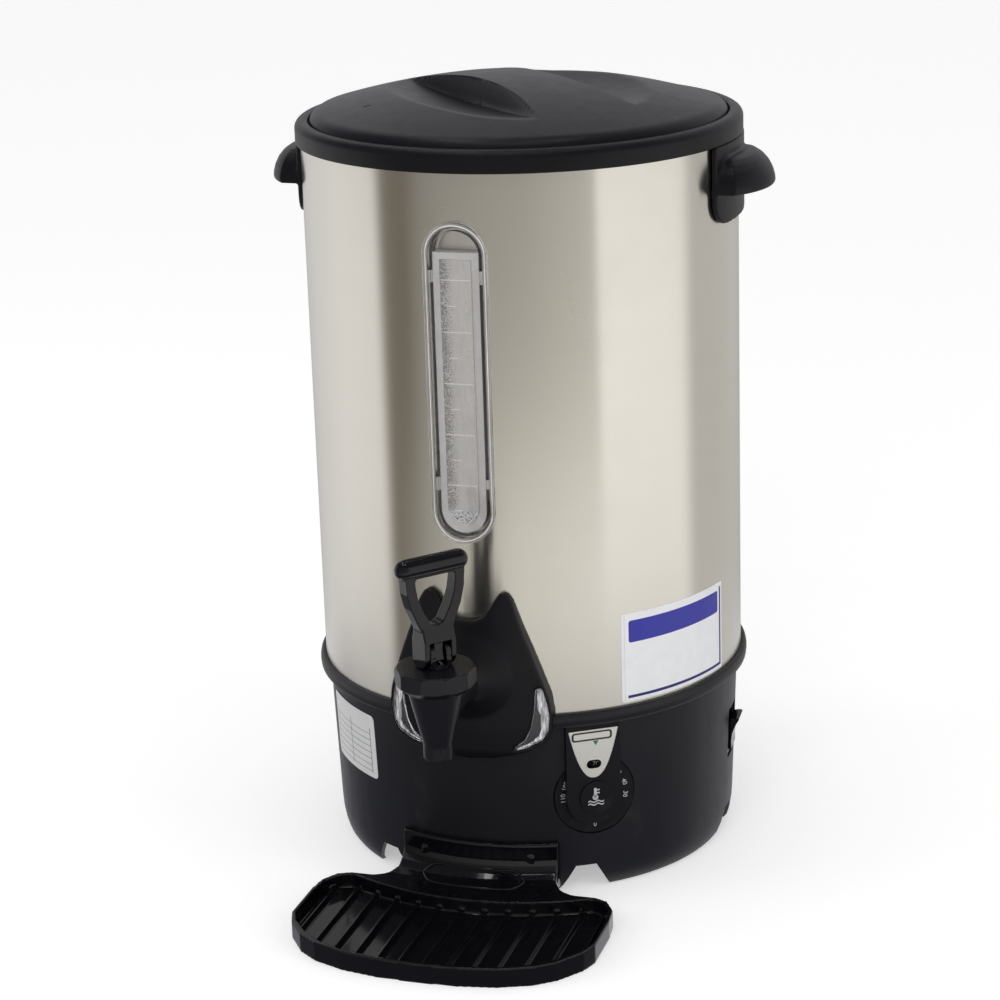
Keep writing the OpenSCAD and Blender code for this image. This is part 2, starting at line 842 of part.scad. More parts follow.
module stem_spring() {
    color(steel) tap_axis() coil_spring(6.6, 0.6, web_top + 0.1, 158.3, 6);
}

// Lever parts are drawn facing forward, then swung round to their place
module lever_frame() {
    tap_axis() rotate([0, 0, lever_turn]) children();
}

module across(x0, x1) {
    translate([x0, 0, 0]) rotate([90, 0, 90]) linear_extrude(x1 - x0) children();
}

module stem_head() {
    color(black) lever_frame() difference() {
        union() {
            translate([-head_half, -cheek_r, head_low])
                cube([2 * head_half, 2 * cheek_r, pin_z - 1.5 - head_low]);
            across(-head_half, head_half) translate([0, pin_z]) circle(r = cheek_r);
        }
        translate([-slot_half, -20, head_low + 0.9]) cube([2 * slot_half, 40, 20]);
        round_bar(stem_r + running_gap, head_low - 1, head_low + 4);
        across(-20, 20) translate([0, pin_z]) circle(r = pin_r, $fn = 32);
    }
}

module lever_pin() {
    color(steel) lever_frame() across(-pin_half, pin_half) translate([0, pin_z])
        circle(r = pin_r, $fn = 32);
}

// Side view of the tongue: a disc round the pin with a cam nose that grows toward the front
module tongue_shape() {
    steps = 6;
    cam = [
        for (k = [0 : steps])
            let (q = k * cam_end / steps, rr = cam_r + stem_travel * k / steps)
                [-rr * sin(q), -rr * cos(q)]
    ];
    circle(r = cam_r);
    polygon(concat([[0, 0]], cam, [[-5, 3], [-5, 9], [5, 9], [5, 3], [3.4, 0]]));
}

module lever_outline() {
    half = [
        [0, lever_low], [8.6, lever_low], [9.2, lever_low + 5], [12.4, lever_low + 12],
        [16.2, lever_low + 21], [18.4, lever_low + 30], [19, bar_z - 1], [0, bar_z - 1]
    ];
    polygon(half);
    mirror([1, 0]) polygon(half);
}

module lever_window() {
    half = [
        [0, 200], [5.6, 200], [8.6, 205], [11.4, 212.5], [12.7, 220], [12.9, 223.4], [11.8, 224.6],
        [0, 224.6]
    ];
    polygon(half);
    mirror([1, 0]) polygon(half);
    translate([0, 201.4]) circle(r = 5.8);
}

// Side view of the cheeks, rounded underneath so they clear the collar as the lever tips forward
module cheek_shape() {
    steps = 8;
    under = [
        for (k = [0 : steps])
            let (q = 194 + k * 76 / steps) [yoke_r * cos(q), yoke_r * sin(q)]
    ];
    polygon(concat(
        under,
        [[5.6, -yoke_r], [yoke_half_t, -5.6], [yoke_half_t, 8.6], [lever_half_t, yoke_top],
         [-lever_half_t, yoke_top], [-yoke_half_t, 8.6]]
    ));
}

module tap_lever() {
    color(gloss_black) lever_frame() difference() {
        union() {
            translate([0, lever_half_t, 0]) rotate([90, 0, 0]) linear_extrude(2 * lever_half_t)
                difference() {
                    lever_outline();
                    lever_window();
                }
            across(-yoke_out, yoke_out) translate([0, pin_z]) difference() {
                cheek_shape();
                translate([-20, -20]) square([40, 20 + lever_low - pin_z]);
            }
            for (side = [0, 1]) mirror([side, 0, 0])
                across(yoke_in, yoke_out) translate([0, pin_z]) cheek_shape();
            across(-bar_half, bar_half) translate([0, bar_z]) circle(r = bar_r);
            for (side = [-1, 1]) translate([side * bar_half, 0, bar_z]) sphere(r = bar_r, $fn = 48);
            across(-tongue_half, tongue_half) translate([0, pin_z]) tongue_shape();
        }
        across(-pin_half - 0.3, pin_half + 0.3) translate([0, pin_z])
            circle(r = pin_r + running_gap, $fn = 32);
    }
}

// ---- Thermostat dial ----

module bridge_shape() {
    translate([badge_shift - bridge_half_w, dial_z])
        square([2 * bridge_half_w, bridge_top - dial_z]);
    translate([badge_shift, dial_z]) circle(r = bridge_half_w);
}

module badge_shape() {
    steps = 12;
    rise = badge_top - badge_low;
    polygon([
        for (k = [-steps : steps])
            let (t = k / steps)
                [badge_shift + badge_half_w * t, badge_low + rise * pow(abs(t), 2.3)]
    ]);
}

module sight_hole() {
    translate([badge_shift, sight_z]) rotate([0, 0, 90]) stadium(6, 9.6);
}

module dial_bridge() {
    color(black) {
        difference() {
            facing(dial_az, bridge_back, 0) linear_extrude(bridge_face - bridge_back) difference() {
                bridge_shape();
                sight_hole();
            }
            difference() {
                base_envelope(skin_gap);
                facing(dial_az, dial_floor, dial_z) cylinder(r = dial_r + 0.8, h = 10);
            }
        }
        facing(dial_az, bridge_face - 0.5, dial_z) cylinder(r = 10.4, h = 1.7);
    }
}

module control_badge() {
    color(silver) difference() {
        facing(dial_az, bridge_face, 0) linear_extrude(badge_t) difference() {
            badge_shape();
            sight_hole();
        }
        base_envelope(skin_gap);
    }
}

module dial() {
    color(black) difference() {
        union() {
            facing(dial_az, dial_floor + moving_gap, dial_z)
                cylinder(r = dial_r, h = dial_face - dial_floor - moving_gap);
            for (k = [0 : 35])
                facing(dial_az, dial_face - 1.4, dial_z) rotate([0, 0, k * 10])
                    translate([dial_r - 0.3, 0, 0]) cylinder(r = 0.5, h = 1.4, $fn = 16);
        }
        facing(dial_az, dial_floor - 1, dial_z) cylinder(r = shaft_r, h = 10);
    }
}

module dial_shaft() {
    color(brass) facing(dial_az, 98, dial_z) cylinder(r = shaft_r, h = dial_face - 98);
}

module thermostat_body() {
    color(silver) difference() {
        union() {
            facing(dial_az, 92, dial_z) linear_extrude(20) round_rect(34, 34, 4);
            facing(dial_az, 111, dial_z) cylinder(r = 6, h = dial_back - 111, $fn = 48);
        }
        facing(dial_az, 97.6, dial_z) cylinder(r = shaft_r + running_gap, h = 30, $fn = 96);
    }
}

// ---- Rocker switch and power inlet ----

module switch_axis() {
    rotate([0, 0, switch_az]) translate([0, -rocker_pivot, switch_z]) children();
}

module rocker_frame() {
    color(black) difference() {
        union() {
            facing(switch_az, bay_floor, switch_z) linear_extrude(frame_t)
                round_rect(frame_w, frame_h, 1.5);
            facing(switch_az, 98, switch_z) linear_extrude(bay_floor + 1 - 98)
                square([21.8, 27.8], center = true);
        }
        facing(switch_az, 106, switch_z) linear_extrude(30) square([18, 26.2], center = true);
        switch_axis() rotate([0, 90, 0])
            cylinder(r = 1.5 + running_gap, h = 20.4, center = true, $fn = 32);
    }
}

module rocker() {
    side_view = [
        [-6, -5], [6, -5], [8.5, 2], [10.6, 6.5], [10.6, 8.5], [9.6, 8.5], [5, 7.2], [0, 6.7],
        [-5, 7.2], [-9.6, 8.5], [-10.6, 8.5], [-10.6, 6.5], [-8.5, 2]
    ];
    color(black) switch_axis() rotate([rocker_lean, 0, 0]) {
        rotate([90, 0, 90]) linear_extrude(2 * rocker_half_w, center = true)
            rotate([0, 0, 90]) polygon(side_view);
        rotate([0, 90, 0]) cylinder(r = 1.5, h = 19.4, center = true, $fn = 32);
    }
}

module power_inlet() {
    color(black) difference() {
        union() {
            facing(inlet_az, bay_floor, inlet_z) linear_extrude(frame_t)
                round_rect(frame_h, frame_w, 1.5);
            facing(inlet_az, 104, inlet_z) linear_extrude(bay_floor + 1 - 104)
                square([inlet_w, inlet_h], center = true);
        }
        facing(inlet_az, 107, inlet_z) linear_extrude(30)
            polygon([[-12.2, -8.2], [12.2, -8.2], [12.2, 4], [8, 8.2], [-8, 8.2], [-12.2, 4]]);
    }
}

module inlet_pins() {
    color(brass) for (place = [[-7, -2], [0, 2], [7, -2]])
        facing(inlet_az, 98, inlet_z) translate([place[0], place[1], 0])
            linear_extrude(20) square([2, 4], center = true);
}

// ---- Heater and wiring parts under the tank ----

module heating_plate() {
    color("silver") round_bar(80, tank_floor - 4.6, tank_floor - 0.05, 120);
}

module heating_element() {
    tube_z = tank_floor - 4.7 - 4.2;
    color("gray") {
        rotate([0, 0, 105]) rotate_extrude(angle = 330, $fn = 120) translate([62, tube_z])
            circle(r = 4.2, $fn = 32);
        for (turn = [105.5, 434.5])
            rotate([0, 0, turn]) translate([62, 0, 0]) round_bar(2, tube_z - 20, tube_z, 32);
    }
}

module sensor_bulb() {
    bulb_z = tank_floor - 4.7 - 3.1;
    color(brass) translate([30, -30, bulb_z]) rotate([0, 90, 90]) cylinder(r = 3, h = 60, $fn = 32);
}

module thermal_cutouts() {
    for (place = [-28, 4]) translate([place, 10, 0]) {
        color("beige") round_bar(8.5, tank_floor - 14, tank_floor - 4.7, 48);
        for (sx = [-1, 1]) color(brass)
            translate([sx * 5 - 1.5, -0.4, tank_floor - 22]) cube([3, 0.8, 9]);
    }
}

module terminal_block() {
    color("ivory") difference() {
        translate([-24, 66, ledge_z + 8]) cube([48, 16, 14]);
        for (k = [-1.5 : 1 : 1.5]) translate([k * 11, 74, 0]) round_bar(2.4, ledge_z + 16, 60, 32);
    }
}

// ---- Drip tray ----

function tray_half_outline(inset) = [
    [tray_half_w - 31, -139 - inset], [tray_half_w - 16, -139 - inset],
    [tray_half_w - 8 - inset, -142.5 - inset / 2], [tray_half_w - 1.6 - inset, -153],
    [tray_half_w - inset, -168], [tray_half_w - inset, -198],
    [tray_half_w - 4 - inset, -209 + inset / 2], [tray_half_w - 15 - inset, -224 + inset],
    [tray_half_w - 27 - inset, -233 + inset], [tray_half_w - 46, -240.2 + inset],
    [25, -tray_front + 1.2 + inset], [0, -tray_front + inset]
];

module tray_outline(inset) {
    half = concat([[0, -139 - inset]], tray_half_outline(inset));
    polygon(half);
    mirror([1, 0]) polygon(half);
}

module bracket() {
    section = [
        [tray_back_r, 6], [tray_back_r, bracket_top - 1], [tray_back_r + 0.8, bracket_top],
        [129.4, bracket_top], [130.2, bracket_top - 1], [130.7, 25], [131.6, 21.6], [134.2, 18.2],
        [138.6, 15.2], [145, 13], [157, tray_h], [157, 6]
    ];
    intersection() {
        rotate_extrude($fn = 180) polygon(section);
        linear_extrude(60) polygon([
            [-62, -139.5], [-54, -136], [-49.5, -130], [-48.4, -122], [-48.4, -100], [48.4, -100],
            [48.4, -122], [49.5, -130], [54, -136], [62, -139.5], [62, -170], [-62, -170]
        ]);
    }
}

module drip_tray() {
    color(gloss_black) {
        difference() {
            union() {
                linear_extrude(tray_h) tray_outline(0);
                bracket();
            }
            difference() {
                translate([0, 0, tray_floor]) linear_extrude(60) tray_outline(tray_wall);
                round_bar(159.5, 0, 60, 180);
            }
            round_bar(tray_back_r, -1, 60, 180);
        }
        intersection() {
            union() for (k = [-6 : 6])
                translate([k * rib_pitch - 1.1, -tray_front, tray_floor - 1])
                    cube([2.2, 100, 4]);
            difference() {
                linear_extrude(60) tray_outline(tray_wall - 0.5);
                round_bar(159, 0, 60, 180);
            }
        }
        for (side = [-1, 1])
            translate([side * hook_x - 6.4, -127, hook_z - 1.6]) cube([12.8, 13.5, 3.2]);
    }
}

// ---- Plain labels ----

module side_label() {
    color(label_white) intersection() {
        ring(shell_r + 0.02, shell_r + 0.22, base_h + 1.5, base_h + 57);
        facing(59, 100, base_h + 29.2) linear_extrude(60) round_rect(84, 55, 1);
    }
}

module base_label() {
    low = 58.5;
    high = 100;
    t = 0.2;
    rise = 0.02;
    top_r = neck_r + 0.4 * (high - neck_z) / 9;
    color(label_white) intersection() {
        rotate_extrude($fn = 180) polygon([
            [wall_r(low) + rise, low], [wall_r(low) + rise + t, low], [neck_r + rise + t, neck_z],
            [top_r + rise + t, high], [top_r + rise, high], [neck_r + rise, neck_z]
        ]);
        facing(-46, 100, (low + high) / 2) linear_extrude(60) round_rect(56, high - low, 3);
    }
}

base_housing();
base_plate();
rubber_feet();
base_screws();
outer_shell();
inner_tank();
tank_base();
top_rim();
handle_left();
handle_right();
handle_screws();
lid_shell();
lid_liner();
lid_seal();
lid_screws();
gauge_window();
gauge_gasket();
gauge_scale();
gauge_chamber();
gauge_seals();
tap_fascia();
indicator_lens_left();
indicator_lens_right();
indicator_lamps();
tap_body();
tap_collar();
stem_gasket();
tap_nut();
tap_washers();
tap_stem();
valve_seal();
stem_spring();
stem_head();
lever_pin();
tap_lever();
dial_bridge();
control_badge();
dial();
dial_shaft();
thermostat_body();
rocker_frame();
rocker();
power_inlet();
inlet_pins();
heating_plate();
heating_element();
sensor_bulb();
thermal_cutouts();
terminal_block();
drip_tray();
side_label();
base_label();
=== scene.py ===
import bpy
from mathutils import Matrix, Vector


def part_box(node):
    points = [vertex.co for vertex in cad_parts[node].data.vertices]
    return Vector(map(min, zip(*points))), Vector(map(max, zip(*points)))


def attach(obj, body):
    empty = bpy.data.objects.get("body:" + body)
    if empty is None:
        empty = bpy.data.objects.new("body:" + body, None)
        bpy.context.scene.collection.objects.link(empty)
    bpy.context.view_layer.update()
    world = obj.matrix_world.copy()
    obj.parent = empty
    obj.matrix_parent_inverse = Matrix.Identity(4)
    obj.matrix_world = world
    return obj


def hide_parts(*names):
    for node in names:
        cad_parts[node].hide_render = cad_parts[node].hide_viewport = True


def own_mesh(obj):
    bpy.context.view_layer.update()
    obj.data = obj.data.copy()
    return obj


bl_info = {
    "name": "Coffee Urn",
    "version": (1, 0, 0),
    "blender": (4, 5, 0),
    "location": "View3D > Sidebar > Coffee Urn",
    "description": "Dresses a packed coffee urn: brushed shell, moulded parts, gauge, tap and tray",
    "category": "Object",
}

from functools import wraps
from math import asin, atan2, cos, degrees, hypot, pi, radians, sin, sqrt

import bmesh
import bpy
from bpy.props import FloatProperty, FloatVectorProperty, IntProperty, PointerProperty
from mathutils import Matrix, Vector

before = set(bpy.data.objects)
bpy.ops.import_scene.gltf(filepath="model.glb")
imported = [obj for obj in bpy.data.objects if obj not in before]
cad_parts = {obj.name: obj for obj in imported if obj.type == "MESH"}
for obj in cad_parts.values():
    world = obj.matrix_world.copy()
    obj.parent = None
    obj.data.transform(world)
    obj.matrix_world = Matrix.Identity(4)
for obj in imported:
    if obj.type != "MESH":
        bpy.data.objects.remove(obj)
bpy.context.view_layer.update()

MM = 0.001
WELD = 1e-6
FULL_TURN = 2 * pi

# ---- Sizes read from the frame ----


def span(node, axis):
    low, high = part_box(node)
    return low[axis], high[axis]


SHELL_R = span("outer_shell", 0)[1]
SHELL_LOW, SHELL_HIGH = span("outer_shell", 2)
RIM_LOW, RIM_TOP = span("top_rim", 2)
RIM_R = span("top_rim", 0)[1]
LID_R = span("lid_shell", 0)[1]
LID_LOW, LID_CREST = span("lid_shell", 2)
WINDOW_LOW, WINDOW_HIGH = span("gauge_window", 2)
WINDOW_HALF = span("gauge_window", 0)[1]
WINDOW_MIDDLE = (WINDOW_LOW + WINDOW_HIGH) / 2
SHANK_Z = 143.5 * MM
SHANK_HOLE_R = 11.6 * MM
LABEL_R = 130 * MM
DIAL_TURN = radians(32.7)
DIAL_Z = 62.5 * MM
DIAL_FACE = 124.2 * MM
SYMBOL_FACE = 130.2 * MM
BADGE_FACE = 129.7 * MM
PRINT_THICK = 0.08 * MM
VIEW_TURN = radians(17)


# ---- Settings a user would change ----


class UrnColours(bpy.types.PropertyGroup):
    steel: FloatVectorProperty(
        name="Steel", description="Tint of the brushed shell", subtype="COLOR",
        min=0, max=1, default=(0.72, 0.69, 0.635))
    plastic: FloatVectorProperty(
        name="Satin plastic", description="Lid, rim, handles and base", subtype="COLOR",
        min=0, max=1, default=(0.0054, 0.0056, 0.0078))
    gloss: FloatVectorProperty(
        name="Gloss plastic", description="Lever and drip tray", subtype="COLOR",
        min=0, max=1, default=(0.0026, 0.0027, 0.0040))
    badge: FloatVectorProperty(
        name="Badge", description="Silver badge over the dial", subtype="COLOR",
        min=0, max=1, default=(0.74, 0.73, 0.68))
    band: FloatVectorProperty(
        name="Label band", description="Coloured band and border of the side label",
        subtype="COLOR", min=0, max=1, default=(0.024, 0.024, 0.34))


class UrnShapes(bpy.types.PropertyGroup):
    edge: FloatProperty(
        name="Edge rounding", description="Rounding of the moulded edges, as a share of the usual one",
        subtype="FACTOR", min=0.2, max=1.5, default=1)
    ridge_round: FloatProperty(
        name="Ridge rounding", description="Softness of the lid's grip ridge", unit="LENGTH",
        min=0.0005, max=0.006, default=0.0013)
    sides: IntProperty(
        name="Round sides", description="Flats round the shell and the rim",
        min=64, max=512, default=288)


class UrnStudio(bpy.types.PropertyGroup):
    key: FloatProperty(
        name="Key light", description="Power of the front softbox", unit="POWER",
        min=0, max=200, default=11)
    side: FloatProperty(
        name="Side light", description="Power of the side softboxes", unit="POWER",
        min=0, max=200, default=9)
    ambient: FloatProperty(
        name="Ambient", description="Strength of the room's light", min=0, max=2, default=0.62)


def colours():
    return bpy.context.scene.urn_colours


def shapes():
    return bpy.context.scene.urn_shapes


def studio():
    return bpy.context.scene.urn_studio


# ---- Mesh helpers ----


def add_object(name, data):
    obj = bpy.data.objects.new(name, data)
    bpy.context.scene.collection.objects.link(obj)
    return obj


def new_object(name, verts, faces):
    mesh = bpy.data.meshes.new(name)
    mesh.from_pydata(verts, [], faces)
    mesh.validate()
    return add_object(name, mesh)


def mesh_of(obj):
    """The object's mesh with its modifiers, or the mesh that its curve makes."""
    bpy.context.view_layer.update()
    graph = bpy.context.evaluated_depsgraph_get()
    return bpy.data.meshes.new_from_object(obj.evaluated_get(graph))


def bake(obj):
    """Applies the object's modifiers to its mesh."""
    mesh = mesh_of(obj)
    obj.modifiers.clear()
    obj.data = mesh
    return obj


def smooth(obj, crease=35):
    obj.data.shade_smooth()
    obj.data.set_sharp_from_angle(angle=radians(crease))
    return obj


def cad_copy(node, name):
    """A clean, welded copy of a node's mesh, with flat areas joined into single faces."""
    grid = bmesh.new()
    grid.from_mesh(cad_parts[node].data)
    bmesh.ops.remove_doubles(grid, verts=grid.verts, dist=WELD)
    bmesh.ops.dissolve_limit(
        grid, angle_limit=radians(0.6), verts=grid.verts, edges=grid.edges,
        use_dissolve_boundaries=False)
    verts = [v.co.copy() for v in grid.verts]
    faces = [[v.index for v in f.verts] for f in grid.faces]
    grid.free()
    return new_object(name, verts, faces)


def bevelled(node, name, width, segments, angle):
    """A copy of a node with its sharp edges rounded."""
    obj = cad_copy(node, name)
    edge = obj.modifiers.new("round", "BEVEL")
    edge.width = width * shapes().edge
    edge.segments = segments
    edge.limit_method = "ANGLE"
    edge.angle_limit = radians(angle)
    edge.use_clamp_overlap = True
    bake(obj)
    smooth(obj)
    even = obj.modifiers.new("even", "WEIGHTED_NORMAL")
    even.keep_sharp = True
    return bake(obj)


def softened(node, name, voxel, passes):
    """A copy of a node, remeshed finely and relaxed so that every edge and corner is blended."""
    obj = cad_copy(node, name)
    remesh = obj.modifiers.new("grid", "REMESH")
    remesh.mode = "VOXEL"
    remesh.voxel_size = voxel
    relax = obj.modifiers.new("relax", "SMOOTH")
    relax.factor = 0.5
    relax.iterations = passes
    bake(obj)
    obj.data.shade_smooth()
    return obj


def lathe(name, outline):
    """Turns a closed outline of (radius, height) points round the urn's axis."""
    count = shapes().sides
    verts = []
    for k in range(count):
        a = FULL_TURN * k / count
        verts += [(r * sin(a), -r * cos(a), z) for r, z in outline]
    n = len(outline)
    faces = []
    for k in range(count):
        k2 = (k + 1) % count
        for j in range(n):
            j2 = (j + 1) % n
            faces.append((k * n + j, k2 * n + j, k2 * n + j2, k * n + j2))
    return new_object(name, verts, faces)


def arc(cx, cz, r, start, end, steps):
    """Points of an arc in an outline, from one angle to another in degrees."""
    return [
        (cx + r * cos(radians(start + (end - start) * k / steps)),
         cz + r * sin(radians(start + (end - start) * k / steps)))
        for k in range(steps + 1)
    ]


def facing(turn, distance, height):
    """Placing matrix of a plane that faces outward at an angle round the urn: x right, y up."""
    across = Vector((cos(turn), sin(turn), 0))
    out = Vector((sin(turn), -cos(turn), 0))
    place = Matrix((across, (0, 0, 1), out)).transposed().to_4x4()
    place.translation = out * distance + Vector((0, 0, height))
    return place


def curve_to_mesh(name, curve, place):
    """A mesh object made of a curve or text, with its place in its mesh."""
    obj = add_object(name, curve)
    mesh = mesh_of(obj)
    mesh.transform(place)
    name = obj.name
    bpy.data.objects.remove(obj)
    bpy.data.curves.remove(curve)
    mesh.name = name
    return add_object(name, mesh)


def add_line(curve, points):
    """Adds a closed line of straight steps to a curve."""
    line = curve.splines.new("POLY")
    line.points.add(len(points) - 1)
    for point, place in zip(line.points, points):
        point.co = (*place, 1)
    line.use_cyclic_u = True


def plate(name, outlines, thickness, place):
    """Flat shapes with thickness, from lists of (x, y) points; one inside another is a hole."""
    curve = bpy.data.curves.new(name, "CURVE")
    curve.dimensions = "2D"
    curve.fill_mode = "BOTH"
    curve.extrude = thickness / 2
    for points in outlines:
        add_line(curve, [(x, y, 0) for x, y in points])
    return curve_to_mesh(name, curve, place @ Matrix.Translation((0, 0, thickness / 2)))


def lettering(name, words, height, thickness, place):
    """Plain raised figures, centred on their place."""
    size_per_height = 1.4
    text = bpy.data.curves.new(name, "FONT")
    text.body = words
    text.size = height * size_per_height
    text.align_x = "CENTER"
    text.align_y = "CENTER"
    text.extrude = thickness / 2
    text.resolution_u = 4
    return curve_to_mesh(name, text, place @ Matrix.Translation((0, 0, thickness / 2)))


def circle(cx, cy, r):
    steps = 32
    return [(cx + r * cos(FULL_TURN * k / steps), cy + r * sin(FULL_TURN * k / steps))
            for k in range(steps)]


def rounded(cx, cy, w, h, r):
    """Outline of a box with round corners, w across and h high."""
    steps = 48
    dx, dy = w / 2 - r, h / 2 - r
    points = []
    for k in range(steps):
        a = FULL_TURN * (k + 0.5) / steps
        points.append((cx + (dx if cos(a) > 0 else -dx) + r * cos(a),
                       cy + (dy if sin(a) > 0 else -dy) + r * sin(a)))
    return points


def stadium(cx, cy, w, h):
    """Outline of a bar with round ends."""
    return rounded(cx, cy, w, h, min(w, h) / 2)


def box_outline(x0, y0, x1, y1):
    return [(x0, y0), (x1, y0), (x1, y1), (x0, y1)]


def bead(name, points, radius):
    """A closed round bead that follows points in space."""
    curve = bpy.data.curves.new(name, "CURVE")
    curve.dimensions = "3D"
    curve.bevel_depth = radius
    curve.bevel_resolution = 3
    add_line(curve, points)
    return smooth(curve_to_mesh(name, curve, Matrix()), 60)


def curved_strip(name, outer, inner, r_in, r_out):
    """A band on the urn's round between two lines of (x, z) points, from one radius to another."""
    verts, faces = [], []
    for (x0, z0), (x1, z1) in zip(outer, inner):
        verts += [(x, -sqrt(r * r - x * x), z) for r in (r_out, r_in) for x, z in ((x0, z0), (x1, z1))]
    for k in range(len(outer) - 1):
        a, b = 4 * k, 4 * k + 4
        faces += [(a, b, b + 1, a + 1), (a + 3, b + 3, b + 2, a + 2),
                  (a + 2, b + 2, b, a), (a + 1, b + 1, b + 3, a + 3)]
    last = len(verts) - 4
    faces += [(0, 1, 3, 2), (last, last + 2, last + 3, last + 1)]
    return new_object(name, verts, faces)


def join(name, parts):
    """One object made of several."""
    grid = bmesh.new()
    for part in parts:
        grid.from_mesh(part.data)
    mesh = bpy.data.meshes.new(name)
    grid.to_mesh(mesh)
    grid.free()
    for part in parts:
        bpy.data.objects.remove(part)
    return add_object(name, mesh)


def fit(obj, finish, body, slot, *nodes):
    """Gives a piece its finish and its body, and hides the nodes that it stands for; slot is not used.
    """
    obj.data.materials.clear()
    obj.data.materials.append(finish)
    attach(obj, body)
    if nodes:
        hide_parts(*nodes)
    return obj


def coat(node, finish):
    """Gives a node that stays as it is its finish."""
    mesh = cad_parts[node].data
    mesh.materials.clear()
    mesh.materials.append(finish)


# ---- Shader nodes ----


def feed(tree, target, values):
    """Sets a node's inputs, or links them to other nodes' outputs."""
    for key, value in values.items():
        if isinstance(value, bpy.types.NodeSocket):
            tree.links.new(value, target.inputs[key])
        else:
            target.inputs[key].default_value = value


def node(tree, kind, values=None, **settings):
    """Adds a shader node with its settings and its inputs."""
    made = tree.nodes.new(kind)
    for key, value in settings.items():
        setattr(made, key, value)
    feed(tree, made, values or {})
    return made


def math(tree, operation, a, b=0.0, clamp=False):
    return node(tree, "ShaderNodeMath", {0: a, 1: b}, operation=operation, use_clamp=clamp).outputs[0]


def times(tree, a, b):
    return math(tree, "MULTIPLY", a, b)


def plus(tree, a, b, clamp=False):
    return math(tree, "ADD", a, b, clamp)


def minus(tree, a, b):
    return math(tree, "SUBTRACT", a, b)


def mix_colour(tree, factor, a, b, blend="MIX"):
    made = node(tree, "ShaderNodeMix", {0: factor, 6: a, 7: b}, data_type="RGBA", blend_type=blend)
    return made.outputs[2]


def noise(tree, vector, scale, detail=3.0, rough=0.55):
    made = node(tree, "ShaderNodeTexNoise",
                {"Vector": vector, "Scale": scale, "Detail": detail, "Roughness": rough})
    return made.outputs["Fac"]


def spread(tree, value, low, high, to_low=0.0, to_high=1.0):
    """Maps a value from one range to another, and holds it there."""
    made = node(tree, "ShaderNodeMapRange",
                {0: value, 1: low, 2: high, 3: to_low, 4: to_high}, clamp=True)
    return made.outputs[0]


def inside(tree, value, low, high):
    """1 where the value lies between low and high, else 0."""
    return times(tree, math(tree, "GREATER_THAN", value, low), math(tree, "LESS_THAN", value, high))


def object_place(tree):
    return node(tree, "ShaderNodeTexCoord").outputs["Object"]


def split(tree, place):
    return node(tree, "ShaderNodeSeparateXYZ", {0: place}).outputs


def combine(tree, x, y, z):
    return node(tree, "ShaderNodeCombineXYZ", {0: x, 1: y, 2: z}).outputs[0]


def turn_round(tree, x, y):
    """Angle round the urn's axis, with 0 at the front."""
    return math(tree, "ARCTAN2", x, times(tree, y, -1.0))


def shaded(tree, colour, shade):
    """A colour made lighter or darker by a number."""
    return mix_colour(tree, 1.0, colour, combine(tree, shade, shade, shade), "MULTIPLY")


def rgba(colour):
    return (*colour[:3], 1.0)


# ---- Shader groups ----


def start_group(name, inputs):
    """A shader group with named inputs that puts out a colour, a roughness and a height."""
    tree = bpy.data.node_groups.new(name, "ShaderNodeTree")
    for key, value in inputs.items():
        kind = "NodeSocketFloat" if isinstance(value, float) else "NodeSocketColor"
        made = tree.interface.new_socket(name=key, in_out="INPUT", socket_type=kind)
        made.default_value = value
    for key, kind in (("Colour", "Color"), ("Roughness", "Float"), ("Height", "Float")):
        tree.interface.new_socket(name=key, in_out="OUTPUT", socket_type="NodeSocket" + kind)
    return tree, node(tree, "NodeGroupInput").outputs


def end_group(tree, colour, roughness, height):
    node(tree, "NodeGroupOutput", {"Colour": colour, "Roughness": roughness, "Height": height})
    return tree


def moulded_group():
    """Moulded plastic: fine grain, slow shade changes, rubbed edges and dust on what faces up."""
    tree, given = start_group("Moulded Plastic", {
        "Colour": (0.02, 0.02, 0.02, 1), "Rub Colour": (0.06, 0.06, 0.06, 1), "Rub": 0.5, "Dust": 0.1,
        "Grain Scale": 1800.0, "Roughness": 0.4, "Roughness Spread": 0.1})
    dust_colour = (0.32, 0.31, 0.29, 1)
    place = object_place(tree)
    slow = noise(tree, place, 22.0, 4.0)
    smudge = noise(tree, place, 95.0, 5.0, 0.65)
    grain = noise(tree, place, given["Grain Scale"], 2.0, 0.5)
    geometry = node(tree, "ShaderNodeNewGeometry").outputs
    edges = spread(tree, geometry["Pointiness"], 0.53, 0.60)
    patchy = spread(tree, smudge, 0.40, 0.62)
    rubbed = times(tree, times(tree, edges, patchy), given["Rub"])
    settled = spread(tree, split(tree, geometry["Normal"])[2], 0.55, 1.0)
    speck = spread(tree, noise(tree, place, 700.0, 3.0), 0.60, 0.74)
    dusty = times(tree, times(tree, settled, speck), given["Dust"])
    plain = shaded(tree, given["Colour"], spread(tree, slow, 0.3, 0.7, 0.86, 1.14))
    worn = mix_colour(tree, rubbed, plain, given["Rub Colour"])
    dusted = mix_colour(tree, dusty, worn, dust_colour)
    wander = times(tree, minus(tree, smudge, 0.5), given["Roughness Spread"])
    rough = plus(tree, given["Roughness"], wander)
    rough = plus(tree, rough, times(tree, dusty, 0.3), clamp=True)
    return end_group(tree, dusted, rough, grain)


